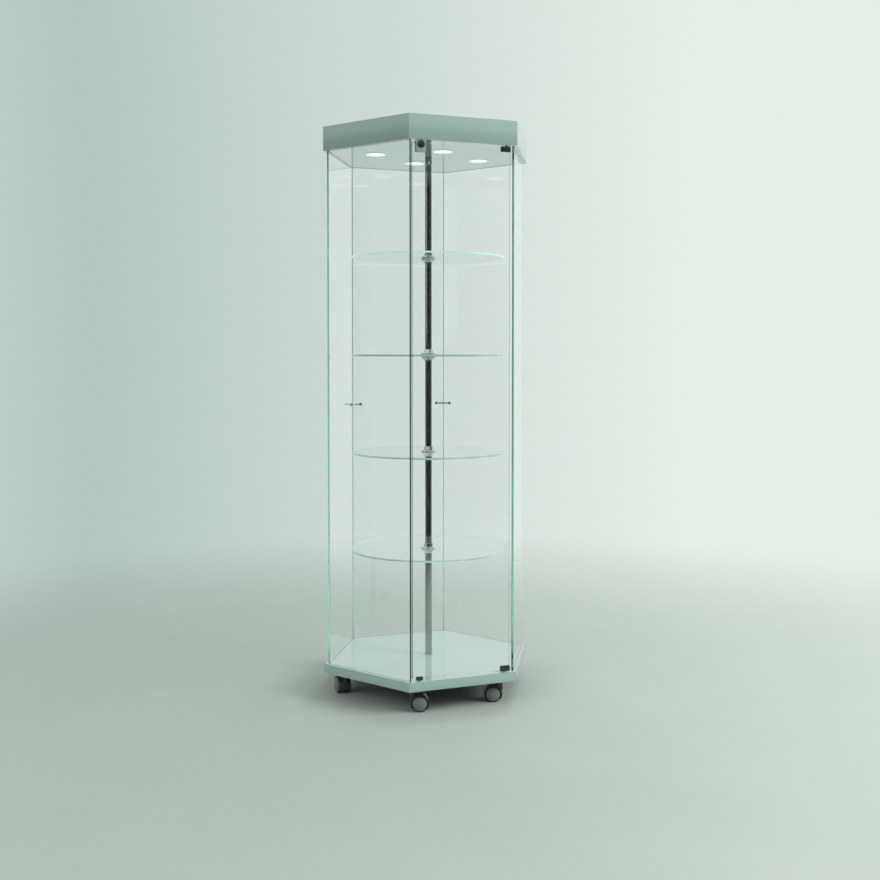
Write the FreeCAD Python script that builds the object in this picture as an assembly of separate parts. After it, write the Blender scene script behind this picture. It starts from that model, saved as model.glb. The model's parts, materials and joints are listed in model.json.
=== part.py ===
"""Revolving glass display cabinet: a hexagonal glass showcase on six swivel castors.

Millimetres, +Z up. The origin lies on the floor under the column, at the bottom centre of the whole cabinet.
The door is the wall that faces -Y. It hangs on the corner at +X and opens outwards.
"""
import FreeCAD, Part

import math
import os

V = FreeCAD.Vector
UP = V(0, 0, 1)
CENTRE = V(0, 0, 0)
OVERCUT = 1.0                # a cutting tool past the surface where it starts

# ---- overall sizes ----
CORNER_RADIUS = 350.0        # centre to a corner of the base and of the top box
CASTOR_HEIGHT = 73.0         # floor to the underside of the base
BASE_THICKNESS = 29.0
OPENING_HEIGHT = 1610.0      # base top to ceiling

# ---- boards ----
EDGE_STRIP = 2.0             # thickness of the edging on the base and of the fascia on the top box
CEILING_BOARD = 16.0
LID_BOARD = 12.0
LID_RECESS = 4.0             # lid top below the rim of the fascia
RAIL_THICKNESS = 16.0
BOARD_CLEARANCE = 0.5        # lid to fascia, all round

# ---- glass walls ----
GLASS = 6.0                  # thickness of the walls and of the shelves
WALL_INSET = 10.7            # base edge to the outer face of a wall
GROOVE_DEPTH = 8.0
GROOVE_SIDE_CLEARANCE = 0.5
BLOCK_THICKNESS = 2.0        # setting block under a wall
BLOCK_LENGTH = 40.0
BLOCK_END_DISTANCE = 66.0    # end of a wall to the middle of its setting block
MITRE_GAP = 0.3              # mitred end of a fixed wall to the mitre, along the wall
LATCH_OVERRUN = 3.4          # wall past the corner of the inner hexagon where the door shuts
DOOR_LATCH_SETBACK = 3.8     # free end of the door, back from that corner
HINGE_SETBACK = 3.5          # wall, back from the corner of the inner hexagon where the door hangs
DOOR_HINGE_SETBACK = 9.2     # hung end of the door, back from that corner

# ---- links across the two rear corners ----
LINK_REACH = 24.0            # corner of the link to the centre of a pad
LINK_ROD_RADIUS = 2.5
LINK_PAD_RADIUS = 5.5
LINK_PAD_THICKNESS = 3.0

# ---- door fittings ----
FITTING_GAP = 2.5            # fitting to base or ceiling, filled by a washer at the pivots
CLAMP_WEB = 4.5              # metal between the edge of the door glass and the end of a clamp
CLAMP_WIDTH = 29.5
CLAMP_HEIGHT = 16.0
CLAMP_THICKNESS = 13.0
CLAMP_OVERHANG = 0.6         # clamp past the end of the door glass
CLAMP_ROUNDING = 1.0
GRUB_INSET = 0.5             # outer end of a grub screw, in from the surface
PAD_THICKNESS = 0.5
PAD_MARGIN = 1.5             # edge of a pad, in from the edge of its jaw
PIVOT_INSET = 8.0            # end of the door glass to the pivot axis
PIVOT_RADIUS = 3.0
PIVOT_ENGAGEMENT = 4.0       # length of the pin inside the clamp
PIVOT_FLANGE_RADIUS = 9.0
PIVOT_FLANGE = 3.0
PIVOT_WASHER_RADIUS = 6.5
CLAMP_SCREW_RADIUS = 2.0
CLAMP_SCREW_SPACING = 17.0

CATCH_WIDTH = 20.0
CATCH_HEIGHT = 9.5
CATCH_THICKNESS = 12.0
CATCH_INSET = 13.8           # free end of the door glass to the catch clamp
MAGNET_RADIUS = 5.0
MAGNET_LENGTH = 10.0
MAGNET_GAP = 1.0             # magnet to catch clamp with the door shut

LOCK_WIDTH = 30.0
LOCK_HEIGHT = 34.0
LOCK_INSET = 11.4            # free end of the door glass to the lock
LOCK_TOP_GAP = 2.0           # lock to ceiling
LOCK_WALL = 5.5              # lock metal outside the glass
BARREL_WALL = 2.0            # lock metal around the cylinder, inside the notch of the glass
LOCK_ROUNDING = 1.4
LOCK_GLASS_CLEARANCE = 0.1
LOCK_AXIS_DROP = 12.5        # ceiling to the axis of the lock cylinder
LOCK_AXIS_SHIFT = 3.0        # lock axis from the middle of the lock, towards the hinge
CYLINDER_RADIUS = 8.0
CYLINDER_PROUD = 4.0         # cylinder past the face of the lock
CYLINDER_ROUNDING = 1.0
KEYWAY_WIDTH = 1.4
KEYWAY_LENGTH = 9.0
KEYWAY_DEPTH = 3.0
TAIL_RADIUS = 3.0
CAM_REACH = 17.0             # lock axis to the tip of the cam
CAM_WIDTH = 8.0
CAM_EYE_RADIUS = 5.0         # round end of the cam on the tail
CAM_THICKNESS = 2.5
CAM_CLEARANCE = 0.3          # cam to the back of the lock
STRIKE_CLEARANCE = 1.0       # cam to the edges of its slot
STRIKE_PLATE = 1.5
STRIKE_MARGIN = 8.0          # slot to the ends of the strike plate
STRIKE_SIDE = 4.0            # slot to the long edges of the strike plate

# ---- carousel ----
COLUMN_RADIUS = 11.0
COLUMN_WALL = 1.5
SHELF_GAP = 41.4             # rim of a shelf to the walls
SHELF_COUNT = 4
FIRST_SHELF = 345.0          # base top to the middle of the lowest shelf
SHELF_PITCH = 314.0
SHELF_HOLE_CLEARANCE = 1.0
COLLAR_CLEARANCE = 0.05      # collar bore to column, radial
WASHER_THICKNESS = 1.0
FLANGE_WIDTH = 13.5          # column to the rim of a flange
FLANGE_THICKNESS = 3.0
BOSS_WALL = 4.0
BOSS_HEIGHT = 15.0
HUB_HEIGHT = 13.0
HUB_LIP = 3.0
COLLAR_BEVEL = 1.0
WASHER_INSET = 1.0           # rim of a flange to the rim of its washer
GRUB_RADIUS = 2.0
GRUB_PLAY = 0.05             # screw to its hole, radial

# ---- bearings and drive ----
RUNNING_FIT = 0.06           # radial
SOCKET_FIT = 0.03            # radial, on parts that are pinned or pressed together
BOARD_HOLE_CLEARANCE = 1.5   # board to column, radial
CUP_WALL = 9.0
CUP_FLOOR = 6.0
CUP_FLANGE = 3.0
CUP_FLANGE_WIDTH = 8.0
CUP_RISE = 20.0              # height of the cup inside the base
FOOT_WASHER = 2.0
FOOT_FLANGE = 2.0
FOOT_SPIGOT = 14.0
BUSH_WALL = 4.0
BUSH_FLANGE = 3.0
BUSH_FLANGE_WIDTH = 10.0
BUSH_LIP = 4.0               # ceiling board left under the bush
COLUMN_RISE = 5.0            # column past the bush
COUPLING_FLANGE = 3.0
COUPLING_HUB_RADIUS = 8.0
COUPLING_HUB = 8.0
COUPLING_SPIGOT = 14.0
SHAFT_RADIUS = 3.0
SHAFT_GRIP = 6.0             # drive shaft inside the coupling
SHAFT_IN_MOTOR = 9.0
MOTOR_RADIUS = 30.0
MOTOR_HEIGHT = 17.0
MOTOR_NOSE_RADIUS = 7.0
MOTOR_NOSE = 2.5
MOTOR_GAP = 0.5              # coupling to motor nose
MOTOR_HEADROOM = 4.0         # motor to lid
BRACKET_SHEET = 2.0
BRACKET_SPAN = 96.0
BRACKET_DEPTH = 56.0
BRACKET_FOOT = 18.0
BRACKET_SCREW_INSET = 10.0   # edge of the bracket to its screws

# ---- spots, supply ----
SPOT_ROW = 175.0             # centre to the two spots on the X axis
SPOT_COLUMN = 125.0          # centre to the two spots on the Y axis
SPOT_RING_RADIUS = 33.0
SPOT_RING = 2.5
SPOT_RING_LIP = 9.0          # width of the ring's flange
SPOT_LEDGE = 2.0             # width of the ledge under the lens
SPOT_RING_BEVEL = 1.0
SPOT_SLEEVE = 1.5
SPOT_SLEEVE_HEIGHT = 10.0
SPOT_LENS = 3.0
SPOT_FIT = 0.5               # radial, sleeve to board and lens to sleeve
SPOT_CAN_HEIGHT = 26.0
SPOT_CAN_WALL = 1.5
TRANSFORMER_SIZE = V(110.0, 45.0, 28.0)
TRANSFORMER_PLACE = V(-120.0, 120.0, 0)
GROMMET_RADIUS = 10.0
GROMMET_BORE = 3.5
GROMMET_LIP = 2.0
GROMMET_LIP_WIDTH = 3.0
GROMMET_INSET = 42.0         # rail to the middle of the grommet

# ---- screws ----
SCREW_RADIUS = 1.8
SCREW_LENGTH = 14.0
SCREW_HEAD_RADIUS = 3.6
SCREW_HEAD = 2.0
SCREW_PLAY = 0.05

# ---- castors ----
CASTOR_COUNT = 6
CASTOR_INSET = 65.0          # corner of the base to the stem of a castor
CASTOR_HEADINGS = (200.0, 75.0, 140.0, 90.0, 340.0, 160.0)  # stem to axle, from +X, castor by castor
WHEEL_RADIUS = 25.0
WHEEL_WIDTH = 13.5
WHEEL_ROUNDING = 2.0
WHEEL_DOME = 7.5             # rise of the cap in the middle of a wheel
WHEEL_CAP_RADIUS = 21.5
AXLE_COVER = 3.0             # wheel left outside the end of the axle
WEB_THICKNESS = 11.0         # part of the hood between the wheels
WHEEL_SIDE_GAP = 0.5
TRAIL = 20.0                 # stem axis to axle, level
AXLE_RADIUS = 3.0
HOOD_GAP = 1.0               # tread to hood
HOOD_WALL = 2.0
HOOD_SKIRT = 15.0            # hood below the axle
WEB_GROUND_GAP = 9.0
NECK_RADIUS = 11.0
NECK_GAP = 1.0               # neck to top plate
STEM_RADIUS = 4.0
STEM_RISE = 13.0             # lower end of the stem above the axle
STEM_FLOOR = 4.0             # hood left under the stem
STEM_FIT = 0.08
PLATE_SIZE = 38.0
PLATE_THICKNESS = 2.5
PLATE_HOLE_SPACING = 27.0
PLATE_CORNER = 4.0

# ---- derived heights ----
BASE_BOTTOM = CASTOR_HEIGHT
BASE_TOP = BASE_BOTTOM + BASE_THICKNESS
CEILING = BASE_TOP + OPENING_HEIGHT
CEILING_TOP = CEILING + CEILING_BOARD
STEM_END = WHEEL_RADIUS + STEM_RISE

# ---- derived plan: an apothem is the distance from the centre to a flat side ----
COS30 = math.cos(math.radians(30))
TAN30 = math.tan(math.radians(30))
EDGE_APOTHEM = CORNER_RADIUS * COS30
BOARD_APOTHEM = EDGE_APOTHEM - EDGE_STRIP
WALL_OUTER = EDGE_APOTHEM - WALL_INSET
WALL_INNER = WALL_OUTER - GLASS
WALL_MIDDLE = WALL_OUTER - GLASS / 2
SHELF_RADIUS = WALL_INNER - SHELF_GAP
CASTOR_CIRCLE = CORNER_RADIUS - CASTOR_INSET
GROMMET_Y = BOARD_APOTHEM - RAIL_THICKNESS - GROMMET_INSET
INNER_HALF_SIDE = WALL_INNER * TAN30
OUTER_HALF_SIDE = WALL_OUTER * TAN30
BORE_RADIUS = COLUMN_RADIUS + RUNNING_FIT
BOARD_BORE = COLUMN_RADIUS + BOARD_HOLE_CLEARANCE
COLLAR_BORE = COLUMN_RADIUS + COLLAR_CLEARANCE
TUBE_BORE = COLUMN_RADIUS - COLUMN_WALL
FLANGE_RADIUS = COLUMN_RADIUS + FLANGE_WIDTH
BOSS_RADIUS = COLUMN_RADIUS + BOSS_WALL

# ---- derived bearing and drive heights ----
CUP_TOP = BASE_BOTTOM + CUP_RISE
CUP_BOTTOM = BASE_BOTTOM - CUP_FLANGE
CUP_INSIDE = CUP_BOTTOM + CUP_FLOOR
FOOT_BOTTOM = CUP_INSIDE + FOOT_WASHER
COLUMN_BOTTOM = FOOT_BOTTOM + FOOT_FLANGE
BUSH_BOTTOM = CEILING + BUSH_LIP
BUSH_TOP = CEILING_TOP + BUSH_FLANGE
COLUMN_TOP = BUSH_TOP + COLUMN_RISE
COUPLING_TOP = COLUMN_TOP + COUPLING_FLANGE + COUPLING_HUB
NOSE_BOTTOM = COUPLING_TOP + MOTOR_GAP
MOTOR_BOTTOM = NOSE_BOTTOM + MOTOR_NOSE
MOTOR_TOP = MOTOR_BOTTOM + MOTOR_HEIGHT

# ---- derived top of the cabinet: the lid clears the motor ----
LID_BOTTOM = MOTOR_TOP + MOTOR_HEADROOM
LID_TOP = LID_BOTTOM + LID_BOARD
TOTAL_HEIGHT = LID_TOP + LID_RECESS

# ---- derived door fittings, in the plan of the closed door ----
DOOR_LEFT = -INNER_HALF_SIDE + DOOR_LATCH_SETBACK
DOOR_RIGHT = INNER_HALF_SIDE - DOOR_HINGE_SETBACK
DOOR_BOTTOM = BASE_TOP + FITTING_GAP + CLAMP_WEB
DOOR_TOP = CEILING - FITTING_GAP - CLAMP_WEB
PIVOT_X = DOOR_RIGHT - PIVOT_INSET
CLAMP_RIGHT = DOOR_RIGHT + CLAMP_OVERHANG
CATCH_LEFT = DOOR_LEFT + CATCH_INSET
LOCK_LEFT = DOOR_LEFT + LOCK_INSET
LOCK_TOP = CEILING - LOCK_TOP_GAP
LOCK_AXIS_X = LOCK_LEFT + LOCK_WIDTH / 2 + LOCK_AXIS_SHIFT
LOCK_AXIS_Z = CEILING - LOCK_AXIS_DROP
BARREL_RADIUS = CYLINDER_RADIUS + BARREL_WALL
LOCK_FACE = -WALL_OUTER - LOCK_GLASS_CLEARANCE - LOCK_WALL
LOCK_BACK = -WALL_INNER + LOCK_GLASS_CLEARANCE + LOCK_WALL
CAM_FRONT = LOCK_BACK + CAM_CLEARANCE
CAM_BACK = CAM_FRONT + CAM_THICKNESS

# ---- ends of the fixed walls: reach of the outer and the inner face from the middle of the side ----
MITRED_END = (OUTER_HALF_SIDE - MITRE_GAP, INNER_HALF_SIDE - MITRE_GAP)
HINGE_END = (INNER_HALF_SIDE - HINGE_SETBACK, INNER_HALF_SIDE - HINGE_SETBACK)
LATCH_END = (INNER_HALF_SIDE + LATCH_OVERRUN, INNER_HALF_SIDE + LATCH_OVERRUN)

# ---- the fixed walls: turn of the side from the door side, then its left and right ends ----
FIXED_WALLS = {
    "glass_front_right": (60.0, HINGE_END, MITRED_END),
    "glass_rear_right": (120.0, MITRED_END, MITRED_END),
    "glass_rear": (180.0, MITRED_END, MITRED_END),
    "glass_rear_left": (240.0, MITRED_END, MITRED_END),
    "glass_front_left": (300.0, MITRED_END, LATCH_END),
}
SIDE_TURNS = tuple(60.0 * i for i in range(6))
LINKED_CORNERS = (60.0, 120.0)   # direction of the two rear corners, from +X


# ---- small shape helpers ----
def block(x0, x1, y0, y1, z0, z1):
    """A box between two corners."""
    return Part.makeBox(x1 - x0, y1 - y0, z1 - z0, V(x0, y0, z0))


def rod(radius, z0, z1, x=0.0, y=0.0):
    """An upright cylinder."""
    return Part.makeCylinder(radius, z1 - z0, V(x, y, z0))


def tube(outer, inner, z0, z1, x=0.0, y=0.0):
    """An upright ring."""
    return rod(outer, z0, z1, x, y).cut(rod(inner, z0, z1, x, y))


def rod_y(radius, y0, y1, x, z):
    """A level cylinder along Y."""
    return Part.makeCylinder(radius, y1 - y0, V(x, y0, z), V(0, 1, 0))


def turned(shape, degrees):
    """A copy, turned about the vertical axis through the origin."""
    copy = shape.copy()
    copy.rotate(CENTRE, UP, degrees)
    return copy


def hexagon(apothem, z0, z1):
    """A six-sided prism with flats towards -Y and +Y."""
    radius = apothem / COS30
    corners = []
    for i in range(7):
        angle = math.radians(60 * i)
        corners.append(V(radius * math.cos(angle), radius * math.sin(angle), z0))
    return Part.Face(Part.makePolygon(corners)).extrude(V(0, 0, z1 - z0))


def side_piece(outer, inner, left, right, z0, z1):
    """A slab along the door side, between two apothems. An end is the reach of its outer and its inner face."""
    outline = [
        V(-left[0], -outer, z0),
        V(right[0], -outer, z0),
        V(right[1], -inner, z0),
        V(-left[1], -inner, z0),
        V(-left[0], -outer, z0),
    ]
    return Part.Face(Part.makePolygon(outline)).extrude(V(0, 0, z1 - z0))


def mitred_strips(outer, thickness, z0, z1):
    """Six strips that close a hexagonal rim, each cut to the mitre at both ends."""
    inner = outer - thickness
    end = (outer * TAN30, inner * TAN30)
    strip = side_piece(outer, inner, end, end, z0, z1)
    return [turned(strip, turn) for turn in SIDE_TURNS]


def revolved(points):
    """A solid turned about the Z axis from (radius, height) points."""
    corners = [V(r, 0, z) for r, z in points]
    return Part.Face(Part.makePolygon(corners + corners[:1])).revolve(CENTRE, UP, 360)


def rounded_box(x0, x1, y0, y1, z0, z1, radius):
    """A box with all its edges rounded."""
    box = block(x0, x1, y0, y1, z0, z1)
    return box.makeFillet(radius, box.Edges)


def countersunk_screw(x, y, head_z, direction):
    """A wood screw whose head is flush with head_z and whose shank runs up (+1) or down (-1)."""
    profile = [
        (0, 0),
        (SCREW_HEAD_RADIUS, 0),
        (SCREW_RADIUS, SCREW_HEAD),
        (SCREW_RADIUS, SCREW_LENGTH - SCREW_RADIUS),
        (0, SCREW_LENGTH),
    ]
    screw = revolved(profile)
    if direction < 0:
        screw.rotate(CENTRE, V(1, 0, 0), 180)
    screw.translate(V(x, y, head_z))
    return screw


def screw_hole(x, y, head_z, direction):
    """The hole that a countersunk screw fills, with its play."""
    radius = SCREW_RADIUS + SCREW_PLAY
    head = SCREW_HEAD_RADIUS + SCREW_PLAY
    profile = [
        (0, -SCREW_PLAY),
        (head, -SCREW_PLAY),
        (head, 0),
        (radius, SCREW_HEAD),
        (radius, SCREW_LENGTH + SCREW_PLAY),
        (0, SCREW_LENGTH + SCREW_PLAY),
    ]
    hole = revolved(profile)
    if direction < 0:
        hole.rotate(CENTRE, V(1, 0, 0), 180)
    hole.translate(V(x, y, head_z))
    return hole


def cut_all(shape, tools):
    """Cuts every tool out of a shape."""
    return shape.cut(Part.makeCompound(tools)) if tools else shape


def save(node, *shapes):
    """Writes one STEP file that holds every solid of the given shapes."""
    solids = [solid for shape in shapes for solid in shape.Solids]
    for solid in solids:
        if not solid.isValid():
            raise ValueError(node + " holds a broken solid")
    whole = solids[0] if len(solids) == 1 else Part.makeCompound(solids)
    whole.exportStep("parts/" + node + ".step")
    print(node, len(solids), "solids", round(whole.Volume / 1000, 2), "cm3")


# ---- screw places ----
def castor_angles():
    return [360.0 / CASTOR_COUNT * i for i in range(CASTOR_COUNT)]


def castor_screw_places():
    """Centres of the four screws of every castor plate."""
    half = PLATE_HOLE_SPACING / 2
    places = []
    for angle in castor_angles():
        for dx in (-half, half):
            for dy in (-half, half):
                point = V(CASTOR_CIRCLE + dx, dy, 0)
                spin = FreeCAD.Rotation(UP, angle)
                places.append(spin.multVec(point))
    return places


def bracket_screw_places():
    """Centres of the four screws in the feet of the motor bracket."""
    x = BRACKET_SPAN / 2 + BRACKET_FOOT / 2
    y = BRACKET_DEPTH / 2 - BRACKET_SCREW_INSET
    return [V(sx * x, sy * y, 0) for sx in (-1, 1) for sy in (-1, 1)]


def spot_places():
    return [V(SPOT_ROW, 0, 0), V(0, SPOT_COLUMN, 0), V(-SPOT_ROW, 0, 0), V(0, -SPOT_COLUMN, 0)]


# ---- base ----
def wall_grooves(z0, z1):
    """Grooves for the five fixed walls, each a little longer than its glass."""
    half_width = GLASS / 2 + GROOVE_SIDE_CLEARANCE
    grooves = []
    for turn, left, right in FIXED_WALLS.values():
        x0 = -max(left) - GROOVE_SIDE_CLEARANCE
        x1 = max(right) + GROOVE_SIDE_CLEARANCE
        groove = block(x0, x1, -WALL_MIDDLE - half_width, -WALL_MIDDLE + half_width, z0, z1)
        grooves.append(turned(groove, turn))
    return grooves


def make_base():
    """The laminated board, its edging and what is let into it."""
    board = hexagon(BOARD_APOTHEM, BASE_BOTTOM, BASE_TOP)
    cup_radius = COLUMN_RADIUS + CUP_WALL
    tools = wall_grooves(BASE_TOP - GROOVE_DEPTH, BASE_TOP)
    tools.append(rod(cup_radius + SOCKET_FIT, BASE_BOTTOM, CUP_TOP))
    tools.append(rod(BOARD_BORE, BASE_BOTTOM, BASE_TOP))
    flange_hole = PIVOT_FLANGE_RADIUS + SOCKET_FIT
    tools.append(rod(flange_hole, BASE_TOP - PIVOT_FLANGE, BASE_TOP, PIVOT_X, -WALL_MIDDLE))
    magnet_top = BASE_TOP + FITTING_GAP - MAGNET_GAP
    magnet_x = CATCH_LEFT + CATCH_WIDTH / 2
    magnet_bottom = magnet_top - MAGNET_LENGTH
    tools.append(rod(MAGNET_RADIUS + SOCKET_FIT, magnet_bottom, BASE_TOP, magnet_x, -WALL_MIDDLE))
    head_z = BASE_BOTTOM - PLATE_THICKNESS
    for place in castor_screw_places():
        tools.append(screw_hole(place.x, place.y, head_z, 1))
    save("base_board", cut_all(board, tools))
    save("base_edge_strips", *mitred_strips(EDGE_APOTHEM, EDGE_STRIP, BASE_BOTTOM, BASE_TOP))
    cup = rod(cup_radius, BASE_BOTTOM, CUP_TOP)
    cup = cup.fuse(rod(cup_radius + CUP_FLANGE_WIDTH, CUP_BOTTOM, BASE_BOTTOM)).removeSplitter()
    save("base_bearing_cup", cup.cut(rod(BORE_RADIUS, CUP_INSIDE, CUP_TOP)))
    save("catch_magnet", rod(MAGNET_RADIUS, magnet_bottom, magnet_top, magnet_x, -WALL_MIDDLE))


def make_thrust_washers():
    """Nylon washers: one under the column, one at each end of the door."""
    foot = rod(COLUMN_RADIUS - SOCKET_FIT, CUP_INSIDE, FOOT_BOTTOM)
    bore = PIVOT_RADIUS + RUNNING_FIT
    lower = tube(PIVOT_WASHER_RADIUS, bore, BASE_TOP, BASE_TOP + FITTING_GAP, PIVOT_X, -WALL_MIDDLE)
    upper = tube(PIVOT_WASHER_RADIUS, bore, CEILING - FITTING_GAP, CEILING, PIVOT_X, -WALL_MIDDLE)
    save("thrust_washers", foot, lower, upper)


# ---- walls ----
def make_walls():
    """Five fixed walls that stand on setting blocks in the grooves, and the links of the rear wall."""
    bottom = BASE_TOP - GROOVE_DEPTH + BLOCK_THICKNESS
    top = CEILING + GROOVE_DEPTH - BLOCK_THICKNESS
    blocks = []
    for node, (turn, left, right) in FIXED_WALLS.items():
        save(node, turned(side_piece(WALL_OUTER, WALL_INNER, left, right, bottom, top), turn))
        for x in (BLOCK_END_DISTANCE - min(left), min(right) - BLOCK_END_DISTANCE):
            low = bottom - BLOCK_THICKNESS
            piece = block(x - BLOCK_LENGTH / 2, x + BLOCK_LENGTH / 2, -WALL_OUTER, -WALL_INNER, low, bottom)
            blocks.append(turned(piece, turn))
    save("glass_setting_blocks", *blocks)
    save("corner_links", *[corner_link(angle) for angle in LINKED_CORNERS])


def corner_link(corner):
    """A bent rod inside a rear corner, with a round pad on each of the two walls."""
    height = BASE_TOP + OPENING_HEIGHT / 2
    rod_apothem = WALL_INNER - LINK_PAD_THICKNESS - LINK_ROD_RADIUS
    bend = V(rod_apothem / COS30, 0, height)
    link = Part.makeSphere(LINK_ROD_RADIUS, bend)
    for side in (-1, 1):
        along = V(math.cos(math.radians(120)), side * math.sin(math.radians(120)), 0)
        outward = V(math.cos(math.radians(30)), side * math.sin(math.radians(30)), 0)
        end = bend + along * LINK_REACH
        link = link.fuse(Part.makeCylinder(LINK_ROD_RADIUS, LINK_REACH, bend, along))
        pad_length = LINK_PAD_THICKNESS + LINK_ROD_RADIUS
        link = link.fuse(Part.makeCylinder(LINK_PAD_RADIUS, pad_length, end, outward))
    return turned(link.removeSplitter(), corner)


# ---- door ----
def clamp_block(x0, width, height, thickness, slot, upper):
    """A U-shaped clamp over the lower or the upper edge of the door glass."""
    low = CEILING - FITTING_GAP - height if upper else BASE_TOP + FITTING_GAP
    half = thickness / 2
    front = -WALL_MIDDLE - half
    body = rounded_box(x0, x0 + width, front, front + thickness, low, low + height, CLAMP_ROUNDING)
    slot_low = low - OVERCUT if upper else DOOR_BOTTOM
    slot_high = DOOR_TOP if upper else low + height + OVERCUT
    y0 = -WALL_MIDDLE - slot / 2
    return body.cut(block(x0 - OVERCUT, x0 + width + OVERCUT, y0, y0 + slot, slot_low, slot_high))


def make_pivots():
    """The two clamps the door hangs on, with their pads, grub screws and fixed pins."""
    clamps = []
    pads = []
    screws = []
    pins = []
    x0 = CLAMP_RIGHT - CLAMP_WIDTH
    slot = GLASS + 2 * PAD_THICKNESS
    jaw_inner = -WALL_MIDDLE + slot / 2
    jaw_outer = -WALL_MIDDLE + CLAMP_THICKNESS / 2
    for upper in (False, True):
        body = clamp_block(x0, CLAMP_WIDTH, CLAMP_HEIGHT, CLAMP_THICKNESS, slot, upper)
        face = CEILING - FITTING_GAP if upper else BASE_TOP + FITTING_GAP
        inward = -1 if upper else 1
        board = CEILING if upper else BASE_TOP
        glass_edge = DOOR_TOP if upper else DOOR_BOTTOM
        jaw_end = face + inward * CLAMP_HEIGHT
        jaw_middle = (glass_edge + jaw_end) / 2
        bore_low, bore_high = sorted((face, glass_edge))
        body = body.cut(rod(PIVOT_RADIUS + RUNNING_FIT, bore_low, bore_high, PIVOT_X, -WALL_MIDDLE))
        for side in (-1, 1):
            x = x0 + CLAMP_WIDTH / 2 + side * CLAMP_SCREW_SPACING / 2
            hole_radius = CLAMP_SCREW_RADIUS + GRUB_PLAY
            body = body.cut(rod_y(hole_radius, jaw_inner - PAD_THICKNESS, jaw_outer + OVERCUT, x, jaw_middle))
            screws.append(rod_y(CLAMP_SCREW_RADIUS, jaw_inner, jaw_outer - GRUB_INSET, x, jaw_middle))
        clamps.append(body)
        pad_low, pad_high = sorted((glass_edge + inward * PAD_MARGIN, jaw_end - inward * PAD_MARGIN))
        pad_end = DOOR_RIGHT - PAD_MARGIN
        for y0 in (-WALL_OUTER - PAD_THICKNESS, -WALL_INNER):
            pads.append(block(x0 + PAD_MARGIN, pad_end, y0, y0 + PAD_THICKNESS, pad_low, pad_high))
        pin_low, pin_high = sorted((board, face + inward * PIVOT_ENGAGEMENT))
        flange_low, flange_high = sorted((board, board - inward * PIVOT_FLANGE))
        pin = rod(PIVOT_RADIUS, pin_low, pin_high, PIVOT_X, -WALL_MIDDLE)
        pins.append(pin.fuse(rod(PIVOT_FLANGE_RADIUS, flange_low, flange_high, PIVOT_X, -WALL_MIDDLE)))
    save("pivot_clamps", *clamps)
    save("clamp_pads", *pads)
    save("clamp_screws", *screws)
    save("pivot_pins", *pins)


def make_door():
    """The door glass, with a notch in its top edge for the lock, and the catch at its foot."""
    glass = block(DOOR_LEFT, DOOR_RIGHT, -WALL_OUTER, -WALL_INNER, DOOR_BOTTOM, DOOR_TOP)
    notch_radius = BARREL_RADIUS + LOCK_GLASS_CLEARANCE
    front = -WALL_OUTER - OVERCUT
    back = -WALL_INNER + OVERCUT
    left = LOCK_AXIS_X - notch_radius
    right = LOCK_AXIS_X + notch_radius
    notch = rod_y(notch_radius, front, back, LOCK_AXIS_X, LOCK_AXIS_Z)
    notch = notch.fuse(block(left, right, front, back, LOCK_AXIS_Z, DOOR_TOP + OVERCUT))
    save("door_glass", glass.cut(notch))
    slot = GLASS + 2 * LOCK_GLASS_CLEARANCE
    save("catch_clamp", clamp_block(CATCH_LEFT, CATCH_WIDTH, CATCH_HEIGHT, CATCH_THICKNESS, slot, False))


def make_lock():
    """The lock: a body whose barrel fills the notch of the door glass, its cylinder and its cam."""
    low = LOCK_TOP - LOCK_HEIGHT
    right = LOCK_LEFT + LOCK_WIDTH
    body = rounded_box(LOCK_LEFT, right, LOCK_FACE, LOCK_BACK, low, LOCK_TOP, LOCK_ROUNDING)
    slot_front = -WALL_OUTER - LOCK_GLASS_CLEARANCE
    slot_back = -WALL_INNER + LOCK_GLASS_CLEARANCE
    slot_top = DOOR_TOP + LOCK_GLASS_CLEARANCE
    slot = block(LOCK_LEFT - OVERCUT, right + OVERCUT, slot_front, slot_back, low - OVERCUT, slot_top)
    barrel = rod_y(BARREL_RADIUS, slot_front, slot_back, LOCK_AXIS_X, LOCK_AXIS_Z).common(body)
    body = body.cut(slot).fuse(barrel).removeSplitter()
    bore_radius = CYLINDER_RADIUS + RUNNING_FIT
    bore = rod_y(bore_radius, LOCK_FACE - OVERCUT, LOCK_BACK + OVERCUT, LOCK_AXIS_X, LOCK_AXIS_Z)
    save("lock_body", body.cut(bore))
    make_lock_cylinder()
    make_lock_cam()


def make_lock_cylinder():
    """The cylinder with its keyway in front and the tail that carries the cam behind."""
    front = LOCK_FACE - CYLINDER_PROUD
    cylinder = rod_y(CYLINDER_RADIUS, front, LOCK_BACK, LOCK_AXIS_X, LOCK_AXIS_Z)
    front_rims = [edge for edge in cylinder.Edges if edge.BoundBox.YMax < front + CYLINDER_PROUD]
    cylinder = cylinder.makeFillet(CYLINDER_ROUNDING, front_rims)
    cylinder = cylinder.fuse(rod_y(TAIL_RADIUS, LOCK_BACK, CAM_BACK, LOCK_AXIS_X, LOCK_AXIS_Z))
    x0 = LOCK_AXIS_X - KEYWAY_WIDTH / 2
    z0 = LOCK_AXIS_Z - KEYWAY_LENGTH / 2
    keyway = block(x0, x0 + KEYWAY_WIDTH, front - OVERCUT, front + KEYWAY_DEPTH, z0, z0 + KEYWAY_LENGTH)
    save("lock_cylinder", cylinder.cut(keyway))


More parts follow.
